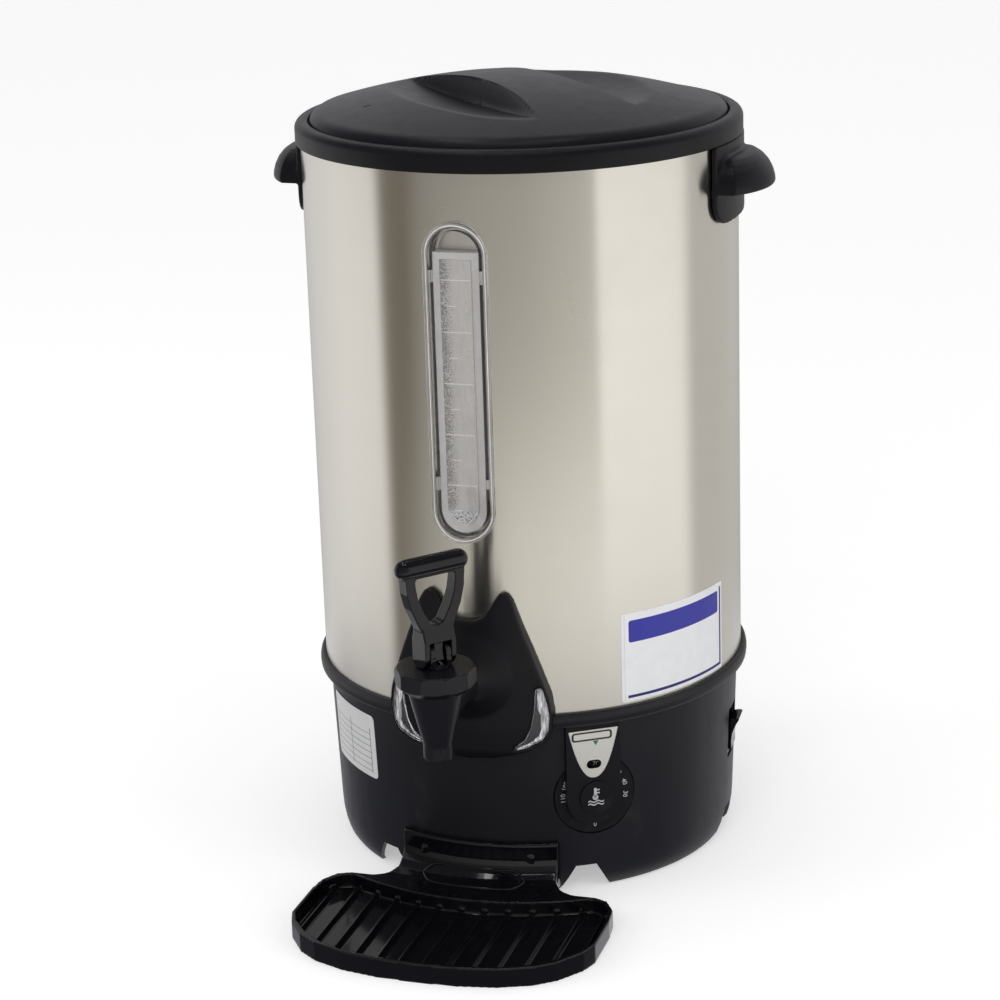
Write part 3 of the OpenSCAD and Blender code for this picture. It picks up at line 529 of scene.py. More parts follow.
def brushed_group():
    """Metal brushed round the urn's axis: fine level lines, faint streaks and finger smudges."""
    tree, given = start_group("Brushed Metal", {
        "Colour": (0.6, 0.57, 0.52, 1), "Line Depth": 0.1, "Lines": 1400.0, "Roughness": 0.3})
    xyz = split(tree, object_place(tree))
    turn = turn_round(tree, xyz[0], xyz[1])
    level = times(tree, xyz[2], given["Lines"])
    lines = noise(tree, combine(tree, times(tree, turn, 3.2), level, 0.0), 1.0, 4.0, 0.7)
    streak_place = combine(tree, times(tree, turn, 1.4), times(tree, xyz[2], 70.0), 3.0)
    streaks = noise(tree, streak_place, 1.0, 3.0, 0.6)
    smudge = noise(tree, object_place(tree), 14.0, 5.0, 0.6)
    depth = given["Line Depth"]
    fine = times(tree, minus(tree, lines, 0.5), depth)
    wide = times(tree, minus(tree, streaks, 0.5), times(tree, depth, 0.5))
    colour = shaded(tree, given["Colour"], plus(tree, plus(tree, fine, wide), 1.0))
    rough = plus(tree, given["Roughness"], times(tree, fine, 0.8))
    rough = plus(tree, rough, spread(tree, smudge, 0.5, 0.75, 0.0, 0.05), clamp=True)
    return end_group(tree, colour, rough, lines)


GROUP_MAKERS = {"Moulded Plastic": moulded_group, "Brushed Metal": brushed_group}
GROUPS = {}


def group(tree, name, values):
    """Places a shader group in a material, with its own values."""
    if name not in GROUPS:
        GROUPS[name] = GROUP_MAKERS[name]()
    made = tree.nodes.new("ShaderNodeGroup")
    made.node_tree = GROUPS[name]
    feed(tree, made, values)
    return made.outputs


# ---- Finishes ----


FINISHES = {}


def finish_maker(maker):
    """Turns a function that fills in a material into one that makes it once, by its name."""
    @wraps(maker)
    def finish(name, *values, **more):
        if name not in FINISHES:
            material = bpy.data.materials.new(name)
            material.use_nodes = True
            FINISHES[name] = material
            maker(material.node_tree, material.node_tree.nodes["Principled BSDF"], *values, **more)
        return FINISHES[name]
    return finish


def bump(tree, height, strength, distance):
    made = node(tree, "ShaderNodeBump", {"Strength": strength, "Distance": distance, "Height": height})
    return made.outputs[0]


@finish_maker
def plastic(tree, shader, colour, roughness, rub=0.5, dust=0.1, grain=1800.0, relief=0.08,
            spread_by=0.12, rub_colour=(0.03, 0.03, 0.032), specular=0.5):
    """A moulded plastic or rubber finish."""
    out = group(tree, "Moulded Plastic", {
        "Colour": rgba(colour), "Rub Colour": rgba(rub_colour), "Rub": rub, "Dust": dust,
        "Grain Scale": grain, "Roughness": roughness, "Roughness Spread": spread_by})
    feed(tree, shader, {
        "Base Color": out["Colour"], "Roughness": out["Roughness"], "Specular IOR Level": specular,
        "Normal": bump(tree, out["Height"], relief, 0.0002)})


def plastic_with_painted_light(share):
    """The satin plastic's colour, times a share; a share above 1 is painted light: a lighter copy of
    the same plastic for a part that is more brightly lit.
    """
    return [c * share for c in colours().plastic]


def satin_black():
    return plastic("satin_black", plastic_with_painted_light(1), 0.42, rub=0.35, grain=2200.0, relief=0.16, specular=0.2)


# Painted light: the base's copy of the satin plastic is half as light again, standing in for how
# brightly the base is lit.
def base_black():
    return plastic("base_black", plastic_with_painted_light(1.5), 0.42, rub=0.35, grain=2200.0, relief=0.16, specular=0.28)


# Painted light: the lid's copy of the satin plastic is a little lighter, standing in for how brightly
# its top is lit.
def lid_black():
    return plastic("lid_black", plastic_with_painted_light(1.15), 0.40, rub=0.3, grain=2600.0, relief=0.12, specular=0.2)


def gloss_black():
    return plastic("gloss_black", colours().gloss, 0.10, rub=0.25, dust=0.06, grain=240.0,
                   relief=0.02, spread_by=0.10, specular=0.32)


# Painted light: the tap's copy of the satin plastic is lighter, standing in for how brightly the tap is
# lit.
def tap_black():
    return plastic("tap_black", plastic_with_painted_light(1.3), 0.30, rub=0.4, dust=0.08, grain=1500.0, relief=0.06,
                   specular=0.25)


def rubber_black():
    return plastic("rubber_black", (0.014, 0.014, 0.014), 0.75, rub=0.1, dust=0.5, grain=900.0,
                   relief=0.3)


def seal_rubber():
    return plastic("lid_rubber", (0.5, 0.5, 0.48), 0.6, rub=0.1, rub_colour=(0.5, 0.5, 0.5))


def gasket_clear():
    return plastic("gasket_clear", (0.25, 0.235, 0.215), 0.35, rub=0.1, rub_colour=(0.5, 0.5, 0.5))


# Painted highlight: white plastic for the bead round the sight window, standing in for the bright
# reflection along the window's polished edge.
def polished_edge():
    return plastic("polished_edge", (0.80, 0.80, 0.81), 0.12, rub=0.1, dust=0.05, grain=400.0,
                   relief=0.02, rub_colour=(0.8, 0.8, 0.8))


def lamp_clear():
    return plastic("lamp_clear", (0.5, 0.49, 0.47), 0.2, rub=0, dust=0, rub_colour=(0.6, 0.6, 0.6))


def glazed_clay():
    return plastic("glazed_clay", (0.5, 0.47, 0.4), 0.3, rub_colour=(0.6, 0.6, 0.6))


def ivory_block():
    return plastic("ivory_block", (0.55, 0.52, 0.42), 0.5, rub_colour=(0.6, 0.6, 0.6))


def print_white():
    return plastic("print_white", (0.55, 0.56, 0.56), 0.5, rub=0.2, rub_colour=(0.3, 0.3, 0.3))


def print_black():
    return plastic("print_black", (0.012, 0.012, 0.012), 0.45, rub=0.1)


def print_green():
    return plastic("print_green", (0.02, 0.20, 0.08), 0.45, rub=0.1)


@finish_maker
def metal(tree, shader, colour, roughness, lines=1400.0, depth=0.1, turned=0.0, relief=0.05,
          metallic=1.0):
    """A brushed or plated metal finish; turned is how far its lines stretch what it mirrors."""
    out = group(tree, "Brushed Metal", {
        "Colour": rgba(colour), "Line Depth": depth, "Lines": lines, "Roughness": roughness})
    feed(tree, shader, {
        "Base Color": out["Colour"], "Roughness": out["Roughness"], "Metallic": metallic,
        "Normal": bump(tree, out["Height"], relief, 0.00005)})
    if turned:
        tangent = node(tree, "ShaderNodeTangent", direction_type="RADIAL", axis="Z")
        feed(tree, shader, {"Anisotropic": turned, "Anisotropic Rotation": 0.25,
                            "Tangent": tangent.outputs[0]})


def shell_steel():
    return metal("shell_steel", colours().steel, 0.24, lines=2600.0, depth=0.07, turned=0.9,
                 relief=0.015)


def tank_steel():
    return metal("tank_steel", (0.44, 0.41, 0.37), 0.28, lines=500.0, depth=0.08)


def zinc():
    return metal("zinc", (0.60, 0.60, 0.57), 0.3, lines=2500.0)


def brass():
    return metal("brass", (0.66, 0.50, 0.22), 0.32, lines=2500.0, depth=0.12)


def aluminium():
    return metal("aluminium", (0.66, 0.66, 0.66), 0.4, lines=900.0, depth=0.14)


def element_sheath():
    return metal("element_sheath", (0.25, 0.24, 0.23), 0.5)


def badge_silver():
    return metal("badge_silver", colours().badge, 0.34, lines=3200.0, depth=0.06, metallic=0.55)


@finish_maker
def clear_plastic(tree, shader, tint, roughness):
    """A clear moulded plastic with faint handling marks."""
    place = object_place(tree)
    marks = noise(tree, place, 60.0, 5.0, 0.7)
    feed(tree, shader, {
        "Base Color": rgba(tint), "Transmission Weight": 1.0, "IOR": 1.47,
        "Roughness": spread(tree, marks, 0.35, 0.75, roughness, roughness + 0.05),
        "Normal": bump(tree, noise(tree, place, 35.0, 2.0), 0.05, 0.0006)})


@finish_maker
def milky_plastic(tree, shader, tint, see_through):
    """A milky plastic with mottling, lime marks and a little light coming through."""
    place = object_place(tree)
    mottle = noise(tree, place, 260.0, 6.0, 0.75)
    streak = noise(tree, place, 45.0, 4.0, 0.6)
    shade = plus(tree, spread(tree, mottle, 0.35, 0.65, 0.9, 1.0),
                 spread(tree, streak, 0.4, 0.7, -0.06, 0.0))
    feed(tree, shader, {
        "Base Color": shaded(tree, rgba(tint), shade), "Transmission Weight": see_through,
        "Roughness": spread(tree, mottle, 0.3, 0.7, 0.37, 0.57),
        "Normal": bump(tree, mottle, 0.12, 0.0003)})


@finish_maker
def scale_plate(tree, shader):
    """The gauge's milky scale plate: stippled down its left side, pale marks, bubbles at its foot."""
    plate_colour = (0.46, 0.445, 0.43, 1)
    dot_colour = (0.08, 0.075, 0.07, 1)
    foot_colour = (0.56, 0.56, 0.58, 1)
    bubble_colour = (0.10, 0.10, 0.10, 1)
    mark_colour = (0.72, 0.71, 0.69, 1)
    place = object_place(tree)
    xyz = split(tree, place)
    stretched = combine(tree, times(tree, xyz[0], 900.0), 0.0, times(tree, xyz[2], 60.0))
    streak = noise(tree, stretched, 1.0, 4.0, 0.6)
    stipple = noise(tree, place, 1500.0, 2.0, 0.6)
    cloud = noise(tree, place, 110.0, 4.0, 0.6)
    side = spread(tree, xyz[0], -7.5 * MM, -0.5 * MM, 1.0, 0.0)
    reach = minus(tree, 0.645, times(tree, times(tree, side, cloud), 0.44))
    dots = spread(tree, minus(tree, stipple, reach), 0.0, 0.03)
    foot = spread(tree, xyz[2], 244.5 * MM, 240 * MM)
    bubbles = spread(tree, noise(tree, place, 1000.0, 3.0, 0.6), 0.50, 0.58)
    shade = plus(tree, spread(tree, streak, 0.3, 0.7, 0.88, 1.04),
                 spread(tree, cloud, 0.3, 0.7, -0.05, 0.05))
    plain = shaded(tree, plate_colour, shade)
    spotted = mix_colour(tree, times(tree, dots, 0.75), plain, dot_colour)
    pale = mix_colour(tree, foot, spotted, foot_colour)
    bubbly = mix_colour(tree, times(tree, foot, bubbles), pale, bubble_colour)
    from_axis = math(tree, "SQRT", plus(tree, times(tree, xyz[0], xyz[0]), times(tree, xyz[1], xyz[1])))
    raised = math(tree, "GREATER_THAN", from_axis, SHELL_R - 0.62 * MM)
    feed(tree, shader, {
        "Base Color": mix_colour(tree, times(tree, raised, 0.7), bubbly, mark_colour),
        "Roughness": spread(tree, cloud, 0.3, 0.7, 0.30, 0.50), "Transmission Weight": 0.1,
        "Normal": bump(tree, stipple, 0.15, 0.0002)})


@finish_maker
def foil_with_painted_streaks(tree, shader):
    """Bright foil with deep flutes that break its mirroring into streaks; its white colour, and the
    dark and bright colour streaks along the flutes, are painted highlight.
    """
    bright = (0.86, 0.86, 0.88)
    xyz = split(tree, object_place(tree))
    flutes = combine(tree, times(tree, xyz[0], 620.0), 0.0, times(tree, xyz[2], 120.0))
    height = noise(tree, flutes, 1.0, 3.0, 0.5)
    feed(tree, shader, {
        "Base Color": mix_colour(tree, spread(tree, height, 0.42, 0.58),
                                 rgba([c * 0.35 for c in bright]), rgba(bright)),
        "Roughness": spread(tree, height, 0.3, 0.7, 0.16, 0.30), "Metallic": 0.45,
        "Normal": bump(tree, height, 0.5, 0.0008)})


@finish_maker
def paper_label(tree, shader, paint):
    """Glossy printed film; paint(tree, turn, height) gives its colour."""
    xyz = split(tree, object_place(tree))
    colour = paint(tree, turn_round(tree, xyz[0], xyz[1]), xyz[2])
    fleck = noise(tree, object_place(tree), 130.0, 4.0)
    feed(tree, shader, {
        "Base Color": shaded(tree, colour, spread(tree, fleck, 0.3, 0.7, 0.95, 1.0)),
        "Roughness": spread(tree, fleck, 0.3, 0.7, 0.28, 0.4),
        "Normal": bump(tree, fleck, 0.05, 0.0002)})


# ---- Shell and base ----


def carve(obj, *tools):
    """Cuts shapes out of a piece."""
    for tool in tools:
        cut = obj.modifiers.new("cut", "BOOLEAN")
        cut.operation = "DIFFERENCE"
        cut.solver = "EXACT"
        cut.object = tool
    bake(obj)
    for tool in tools:
        bpy.data.objects.remove(tool)
    return obj


def make_shell():
    wall = 0.6 * MM
    lip = 0.15 * MM
    frame_inset = 5.6 * MM
    cut_depth = 40 * MM
    outline = [(SHELL_R - wall, SHELL_LOW), (SHELL_R - lip, SHELL_LOW), (SHELL_R, SHELL_LOW + lip),
               (SHELL_R, SHELL_HIGH - lip), (SHELL_R - lip, SHELL_HIGH), (SHELL_R - wall, SHELL_HIGH)]
    shell = lathe("shell_wall", outline)
    behind = facing(0, SHELL_R - cut_depth / 2, 0)
    opening = stadium(0, WINDOW_MIDDLE, 2 * WINDOW_HALF - frame_inset,
                      WINDOW_HIGH - WINDOW_LOW - frame_inset)
    slot = plate("slot", [opening], cut_depth, behind)
    hole = plate("hole", [circle(0, SHANK_Z, SHANK_HOLE_R)], cut_depth, behind)
    carve(shell, slot, hole)
    smooth(shell)
    fit(shell, shell_steel(), "urn", "brushed_steel", "outer_shell")


def make_base():
    housing = bevelled("base_housing", "base_moulding", 0.6 * MM, 2, 38)
    fit(housing, base_black(), "urn", "black_plastic", "base_housing")
    for name in ("base_plate", "power_inlet", "tap_nut"):
        coat(name, satin_black())
    coat("rubber_feet", rubber_black())
    coat("base_screws", zinc())


def make_rim():
    gap = 0.3 * MM
    foot_r, crown_r, mouth_r = 0.8 * MM, 4.6 * MM, 1.6 * MM
    seat = RIM_LOW + 8.9 * MM
    inner = LID_R + 0.6 * MM
    outline = [(SHELL_R + gap, RIM_LOW)]
    outline += arc(RIM_R - foot_r, RIM_LOW + foot_r, foot_r, -90, 0, 4)
    outline += arc(RIM_R - crown_r, RIM_TOP - crown_r, crown_r, 0, 90, 10)
    outline += arc(inner + mouth_r, RIM_TOP - mouth_r, mouth_r, 90, 180, 6)
    outline += [(inner, seat), (SHELL_R + gap, seat)]
    rim = lathe("rim_band", outline)
    smooth(rim, 50)
    fit(rim, satin_black(), "urn", "black_plastic", "top_rim")


# ---- Lid, whose heights are worked out in millimetres ----


CREST = LID_CREST / MM
DOME_R = 440
FLAT_R = 117.0
RIDGE_TURN = radians(50)
BOWL_X, BOWL_Y = 5, -28
BOWL_DEPTH = 15
BOWL_CURVE_X, BOWL_CURVE_Y = 0.00072, 0.00436
WALL_X, WALL_Y, WALL_R = 24, -360.8, 340
WALL_SLOPE = 4.5
WALL_ROUND = 2.6
# How far the dome drops at the flat part's edge, as (degrees from the ridge, drop).
REAR_FALL = [(45, 0), (75, 1.4), (98, 2.6), (125, 3.6), (140, 3.4), (152, 1.8), (165, 0.5), (180, 0)]
VENT_TURN = radians(-52)
VENT_OUT, VENT_FLOOR = 94, 440
VENT_WIDE, VENT_LONG, VENT_DEEP = 1.8, 5, 40


def soft_min(a, b, k):
    h = max(k - abs(a - b), 0.0) / k
    return min(a, b) - h * h * k / 4


def soft_max(a, b, k):
    return -soft_min(-a, -b, k)


def scoop_height(x, y, dome):
    """Height of the finger scoop on the -Y side of the ridge, in the ridge's own frame."""
    bowl = CREST - BOWL_DEPTH + BOWL_CURVE_X * (x - BOWL_X) ** 2 + BOWL_CURVE_Y * (y - BOWL_Y) ** 2
    inside_by = WALL_R - hypot(x - WALL_X, y - WALL_Y)
    return soft_max(bowl, dome - WALL_SLOPE * inside_by, WALL_ROUND)


def between(knots, x):
    """Smooth value at x on a line through (x, value) knots."""
    for (x0, v0), (x1, v1) in zip(knots, knots[1:]):
        if x0 <= x <= x1:
            t = (x - x0) / (x1 - x0)
            return v0 + (v1 - v0) * t * t * (3 - 2 * t)
    return 0.0


def lid_height(x, y):
    """Height of the lid's top at a place."""
    along = x * cos(RIDGE_TURN) - y * sin(RIDGE_TURN)
    off = x * sin(RIDGE_TURN) + y * cos(RIDGE_TURN)
    dome = CREST - DOME_R + sqrt(DOME_R ** 2 - x * x - y * y)
    dome -= between(REAR_FALL, degrees(atan2(off, along))) * (hypot(x, y) / FLAT_R) ** 2
    blend = shapes().ridge_round / MM
    top = soft_min(dome, scoop_height(along, off, dome), blend)
    return soft_min(top, scoop_height(-along, -off, dome), blend)


def make_lid():
    sides, rings = 440, 130
    skin = 2.2
    low = LID_LOW / MM
    edge_r = LID_R / MM
    # The rounded edge as (radius, share of the shoulder's height).
    edge = [(119.4, 0.93), (121.4, 0.80), (122.9, 0.62), (123.9, 0.40), (edge_r, 0.20), (edge_r, 0.06),
            (edge_r - 0.6, 0.0), (edge_r - 2.2, 0.0)]
    verts = [(0, 0, lid_height(0, 0))]
    for k in range(sides):
        a = FULL_TURN * k / sides
        top = []
        for ring in range(1, rings + 1):
            r = FLAT_R * (ring / rings)
            top.append((r * sin(a), -r * cos(a), lid_height(r * sin(a), -r * cos(a))))
        shoulder = top[-1][2] - low
        verts += top
        verts += [(r * sin(a), -r * cos(a), low + part * shoulder) for r, part in edge]
        verts += [(x, y, z - skin) for x, y, z in reversed(top)]
    verts.append((0, 0, lid_height(0, 0) - skin))
    n = 2 * rings + len(edge)
    last = len(verts) - 1
    faces = []
    for k in range(sides):
        a0 = 1 + k * n
        b0 = 1 + ((k + 1) % sides) * n
        faces.append((0, a0, b0))
        faces += [(a0 + j, a0 + j + 1, b0 + j + 1, b0 + j) for j in range(n - 1)]
        faces.append((a0 + n - 1, last, b0 + n - 1))
    lid = new_object("lid_cover", [(x * MM, y * MM, z * MM) for x, y, z in verts], faces)
    vent_at = (0, -VENT_OUT * MM, VENT_FLOOR * MM)
    vent_place = Matrix.Rotation(VENT_TURN, 4, "Z") @ Matrix.Translation(vent_at)
    slot = stadium(0, 0, VENT_WIDE * MM, VENT_LONG * MM)
    carve(lid, plate("vent", [slot], VENT_DEEP * MM, vent_place))
    smooth(lid, 60)
    fit(lid, lid_black(), "lid", "black_plastic", "lid_shell")
    coat("lid_liner", lid_black())
    coat("lid_seal", seal_rubber())
    coat("lid_screws", zinc())


# ---- Handles ----


def make_handles():
    for side in ("left", "right"):
        handle = softened("handle_" + side, "grip_" + side, 0.7 * MM, 5)
        fit(handle, satin_black(), "urn", "black_plastic", "handle_" + side)
    coat("handle_screws", zinc())


# ---- Gauge ----


BEAD_WIDE = 34.6 * MM
BEAD_INSET = 3.2 * MM
WINDOW_CROWN_R = 132.15 * MM
WINDOW_FALL = 1.85 * MM
WINDOW_FLANK = 16 * MM
BEAD_R = 0.42 * MM
CLIP_INNER, CLIP_OUTER = 13.7 * MM, 15.9 * MM
CLIP_R, CLIP_THICK = SHELL_R - 3.4 * MM, 1.0 * MM
# Clips as (side, middle height, tall) in millimetres.
CLIPS = [(-1, 379, 7), (-1, 257.5, 8), (1, 379, 7.5), (1, 258.5, 5.5)]


def make_gauge():
    window = bevelled("gauge_window", "sight_window", 0.8 * MM, 4, 40)
    window.visible_shadow = False
    fit(window, clear_plastic("window_clear", (0.98, 0.975, 0.97), 0.03), "urn", "clear_plastic",
        "gauge_window")
    # A white bead round the window, as painted highlight along its polished edge.
    rim = []
    for x, z in stadium(0, WINDOW_MIDDLE, BEAD_WIDE, WINDOW_HIGH - WINDOW_LOW - BEAD_INSET):
        front = WINDOW_CROWN_R - WINDOW_FALL * (x / WINDOW_FLANK) ** 2
        rim.append((x, -sqrt(front * front - x * x), z))
    fit(bead("sight_window_bead", rim, BEAD_R), polished_edge(), "urn", "clear_plastic")
    milky = milky_plastic("chamber_milky", (0.56, 0.54, 0.545), 0.15)
    coat("gauge_gasket", gasket_clear())
    coat("gauge_chamber", milky)
    coat("gauge_scale", scale_plate("scale_milky"))
    coat("gauge_seals", seal_rubber())
    clips = []
    for side, z, tall in CLIPS:
        low, high = (z - tall / 2) * MM, (z + tall / 2) * MM
        outline = box_outline(side * CLIP_INNER, low, side * CLIP_OUTER, high)
        clips.append(plate("clip", [outline], CLIP_THICK, facing(0, CLIP_R, 0)))
    fit(join("gauge_clips", clips), milky, "urn", "clear_plastic")


# ---- Tap ----


FOIL_BACK_R, FOIL_FRONT_R = 135.5 * MM, 137.0 * MM
# Edges of a foil as (x, height) in millimetres, laid where the lenses show bright streaks, as painted
# highlight.
FOIL_OUTER = [(28.6, 99.4), (36.3, 102.0), (44.0, 106.3), (46.9, 111.6), (47.5, 119.5), (46.2, 129),
              (44.0, 137.4)]
FOIL_INNER = [(29.6, 100.3), (36.6, 103.4), (41.4, 107.6), (43.4, 112.4), (43.6, 119.5), (41.2, 125),
              (41.4, 137.2)]


def make_fascia():
    fascia = softened("tap_fascia", "tap_shield", 0.85 * MM, 10)
    fit(fascia, satin_black(), "urn", "black_plastic", "tap_fascia")
    lens = clear_plastic("lens_clear", (0.97, 0.97, 0.98), 0.04)
    foils = []
    for side, sign in (("left", -1), ("right", 1)):
        piece = bevelled("indicator_lens_" + side, "lens_" + side, 0.4 * MM, 3, 30)
        piece.visible_shadow = False
        fit(piece, lens, "urn", "lens_plastic", "indicator_lens_" + side)
        outer = [(sign * x * MM, z * MM) for x, z in FOIL_OUTER]
        inner = [(sign * x * MM, z * MM) for x, z in FOIL_INNER]
        foils.append(curved_strip("foil", outer, inner, FOIL_BACK_R, FOIL_FRONT_R))
    # Silver foils behind the lenses: real mirroring, with painted highlight in their white, streaked
    # colour.
    fit(join("lens_reflectors", foils), foil_with_painted_streaks("lens_foil"), "urn", "lens_plastic")
    coat("indicator_lamps", lamp_clear())


def make_tap():
    body = bevelled("tap_body", "tap_barrel", 0.5 * MM, 3, 35)
    fit(body, tap_black(), "urn", "black_plastic", "tap_body")
    collar = bevelled("tap_collar", "tap_bonnet", 0.9 * MM, 4, 25)
    fit(collar, tap_black(), "urn", "black_plastic", "tap_collar")
    for name in ("stem_gasket", "tap_washers", "valve_seal"):
        coat(name, seal_rubber())
    coat("tap_stem", tap_black())
    spring = cad_copy("stem_spring", "closing_spring")
    fit(spring, tank_steel(), "stem", "tank_steel", "stem_spring")
    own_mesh(spring)
    coat("lever_pin", zinc())


def make_lever():
    foot = softened("stem_head", "lever_foot", 0.35 * MM, 4)
    fit(foot, gloss_black(), "lever_base", "gloss_plastic", "stem_head")
    lever = softened("tap_lever", "lever_arm", 0.4 * MM, 6)
    fit(lever, gloss_black(), "lever", "gloss_plastic", "tap_lever")


# ---- Controls ----


FIGURE_RING = 19.3 * MM
FIGURE_TALL = 2.9 * MM
FIGURE_THICK = 0.12 * MM
TOP_FIGURE_TURN = 91.3
TURN_PER_FIGURE = 23.7
FIGURES = [(str(110 - 10 * k), TOP_FIGURE_TURN - TURN_PER_FIGURE * k) for k in range(9)]
FIGURES.append(("0", 180))


def make_dial():
    knob = bevelled("dial", "dial_disc", 0.4 * MM, 2, 40)
    fit(knob, satin_black(), "dial", "black_plastic", "dial")
    middle = facing(DIAL_TURN, DIAL_FACE, DIAL_Z)
    figures = []
    for words, turn in FIGURES:
        spot = middle @ Matrix.Rotation(radians(turn), 4, "Z") @ Matrix.Translation((0, FIGURE_RING, 0))
        figures.append(lettering("figure", words, FIGURE_TALL, FIGURE_THICK, spot))
    fit(join("dial_numbers", figures), print_white(), "dial", "black_plastic")
    coat("dial_shaft", brass())
    coat("thermostat_body", aluminium())


# In millimetres from the dial's middle; a box with round corners is (x, y, wide, high, corner).
PILL_OUTER = (-2.5, 39.4, 24.8, 5.6, 1.8)
PILL_INNER = (-2.5, 39.4, 22.4, 3.6, 1.0)
SIGHT_HOLE = (-1.6, 21.5, 9.6, 6, 3)
POINTER = [(-2.0, 36.2), (1.6, 36.2), (-0.2, 33.2)]
SIGHT_RISE, SIGHT_RIM = 0.1 * MM, 0.35 * MM
STEM_BAR = (-1.2, 3.0, 1.7, 6.8, 0.85)
BULB = (-1.2, 0.4, 1.75)
TICKS = [(-0.4, 4.6, 1.5, 5.4), (-0.4, 2.7, 1.5, 3.5)]
WAVE_X, WAVE_LEVELS = -0.9, (-2.3, -4.1)


def metres(sizes):
    return [size * MM for size in sizes]


def badge_trim(place):
    """The printed outline, the edge of the sight hole and the printed pointer on the badge."""
    pill = [rounded(*metres(size)) for size in (PILL_OUTER, PILL_INNER)]
    fit(plate("badge_outline", pill, PRINT_THICK, place), print_black(), "urn", "silver_badge")
    hole = [place @ Vector((x, y, SIGHT_RISE)) for x, y in rounded(*metres(SIGHT_HOLE))]
    fit(bead("badge_sight_rim", hole, SIGHT_RIM), badge_silver(), "urn", "silver_badge")
    tip = [metres(point) for point in POINTER]
    fit(plate("badge_pointer", [tip], PRINT_THICK, place), print_green(), "urn", "silver_badge")


def wave_outline(middle, y):
    """A thin line with two waves."""
    half, thick, rise = 4.9 * MM, 0.38 * MM, 0.5 * MM
    steps = 24
    top = [(middle - half + 2 * half * k / steps, y + rise * sin(2 * FULL_TURN * k / steps) + thick)
           for k in range(steps + 1)]
    low = [(x, z - 2 * thick) for x, z in reversed(top)]
    return top + low


def dial_symbol(place):
    """A plain thermometer over two waves of water."""
    outlines = [rounded(*metres(STEM_BAR)), circle(*metres(BULB))]
    outlines += [box_outline(*metres(tick)) for tick in TICKS]
    outlines += [wave_outline(*metres((WAVE_X, level))) for level in WAVE_LEVELS]
    parts = [plate("mark", [outline], PRINT_THICK, place) for outline in outlines]
    fit(join("dial_symbol", parts), print_white(), "urn", "black_plastic")


def make_bridge():
    bridge = bevelled("dial_bridge", "dial_bridge_moulding", 1.1 * MM, 4, 40)
    fit(bridge, satin_black(), "urn", "black_plastic", "dial_bridge")
    badge = bevelled("control_badge", "badge_plate", 0.35 * MM, 3, 40)
    fit(badge, badge_silver(), "urn", "silver_badge", "control_badge")
    badge_trim(facing(DIAL_TURN, BADGE_FACE, DIAL_Z))
    dial_symbol(facing(DIAL_TURN, SYMBOL_FACE, DIAL_Z))


def make_switch():
    surround = bevelled("rocker_frame", "switch_surround", 0.4 * MM, 3, 40)
    fit(surround, gloss_black(), "urn", "gloss_plastic", "rocker_frame")
    rocker = bevelled("rocker", "switch_rocker", 0.5 * MM, 3, 30)
    fit(rocker, gloss_black(), "rocker", "gloss_plastic", "rocker")


# ---- Drip tray ----


# In millimetres: the slope as (radius, height), the emboss as (degrees round, distance down the slope).
SLOPE = [(130.2, 34.4), (130.7, 25), (131.6, 21.6), (134.2, 18.2), (138.6, 15.2), (145, 13), (157, 12)]
EMBOSS = [(-11.2, 15.3), (-5, 15.3), (0, 15.3), (5, 15.3), (11.2, 15.3), (13.4, 22.4), (10.4, 29.4),
          (5, 29.4), (0, 29.4), (-5, 29.4), (-10.4, 29.4), (-13.4, 22.4)]


def slope_place(along):
    """Radius and height in metres of a place on the bracket's slope, by its distance down it in mm."""
    for (r0, z0), (r1, z1) in zip(SLOPE, SLOPE[1:]):
        step = hypot(r1 - r0, z1 - z0)
        if along <= step:
            part = along / step
            return (r0 + (r1 - r0) * part) * MM, (z0 + (z1 - z0) * part) * MM
        along -= step
    return SLOPE[-1][0] * MM, SLOPE[-1][1] * MM


def rounded_path(points, rounds):
    """A closed path with its corners cut again and again until it runs smoothly."""
    near, far = 0.8, 0.2
    for _ in range(rounds):
        cut = []
        for k, p in enumerate(points):
            q = points[(k + 1) % len(points)]
            cut.append(tuple(near * a + far * b for a, b in zip(p, q)))
            cut.append(tuple(far * a + near * b for a, b in zip(p, q)))
        points = cut
    return points


def make_tray():
    tray = softened("drip_tray", "drip_tray_moulding", 0.75 * MM, 3)
    fit(tray, gloss_black(), "tray", "gloss_plastic", "drip_tray")
    ring = []
    for turn, along in EMBOSS:
        r, z = slope_place(along)
        ring.append((r * sin(radians(turn)), -r * cos(radians(turn)), z))
    emboss = bead("bracket_emboss", rounded_path(ring, 5), 0.8 * MM)
    fit(emboss, gloss_black(), "tray", "gloss_plastic")


# ---- Labels ----


def in_box(tree, u, v, across, along):
    """1 inside a box, from its two ranges."""
    return times(tree, inside(tree, u, *across), inside(tree, v, *along))


def rounded_mask(tree, u, v, middle, half, corner):
    """1 inside a box with round corners, from its middle and half size in metres."""
    reach = []
    for value, centre, size in zip((u, v), middle, half):
        away = math(tree, "ABSOLUTE", minus(tree, value, centre))
        over = math(tree, "MAXIMUM", minus(tree, away, size - corner), 0.0)
        reach.append(times(tree, over, over))
    return math(tree, "LESS_THAN", math(tree, "SQRT", plus(tree, *reach)), corner)


SIDE_LABEL_TURN = radians(59)
SIDE_LABEL_REACH = 42 * MM
# Places on the base's label in degrees round the urn.
BASE_LABEL_TURN, BASE_LABEL_HALF = -46, 10.5
BASE_LABEL_POSTS = [(-56.7, -56.45), (-46.2, -45.95), (-35.6, -35.35)]


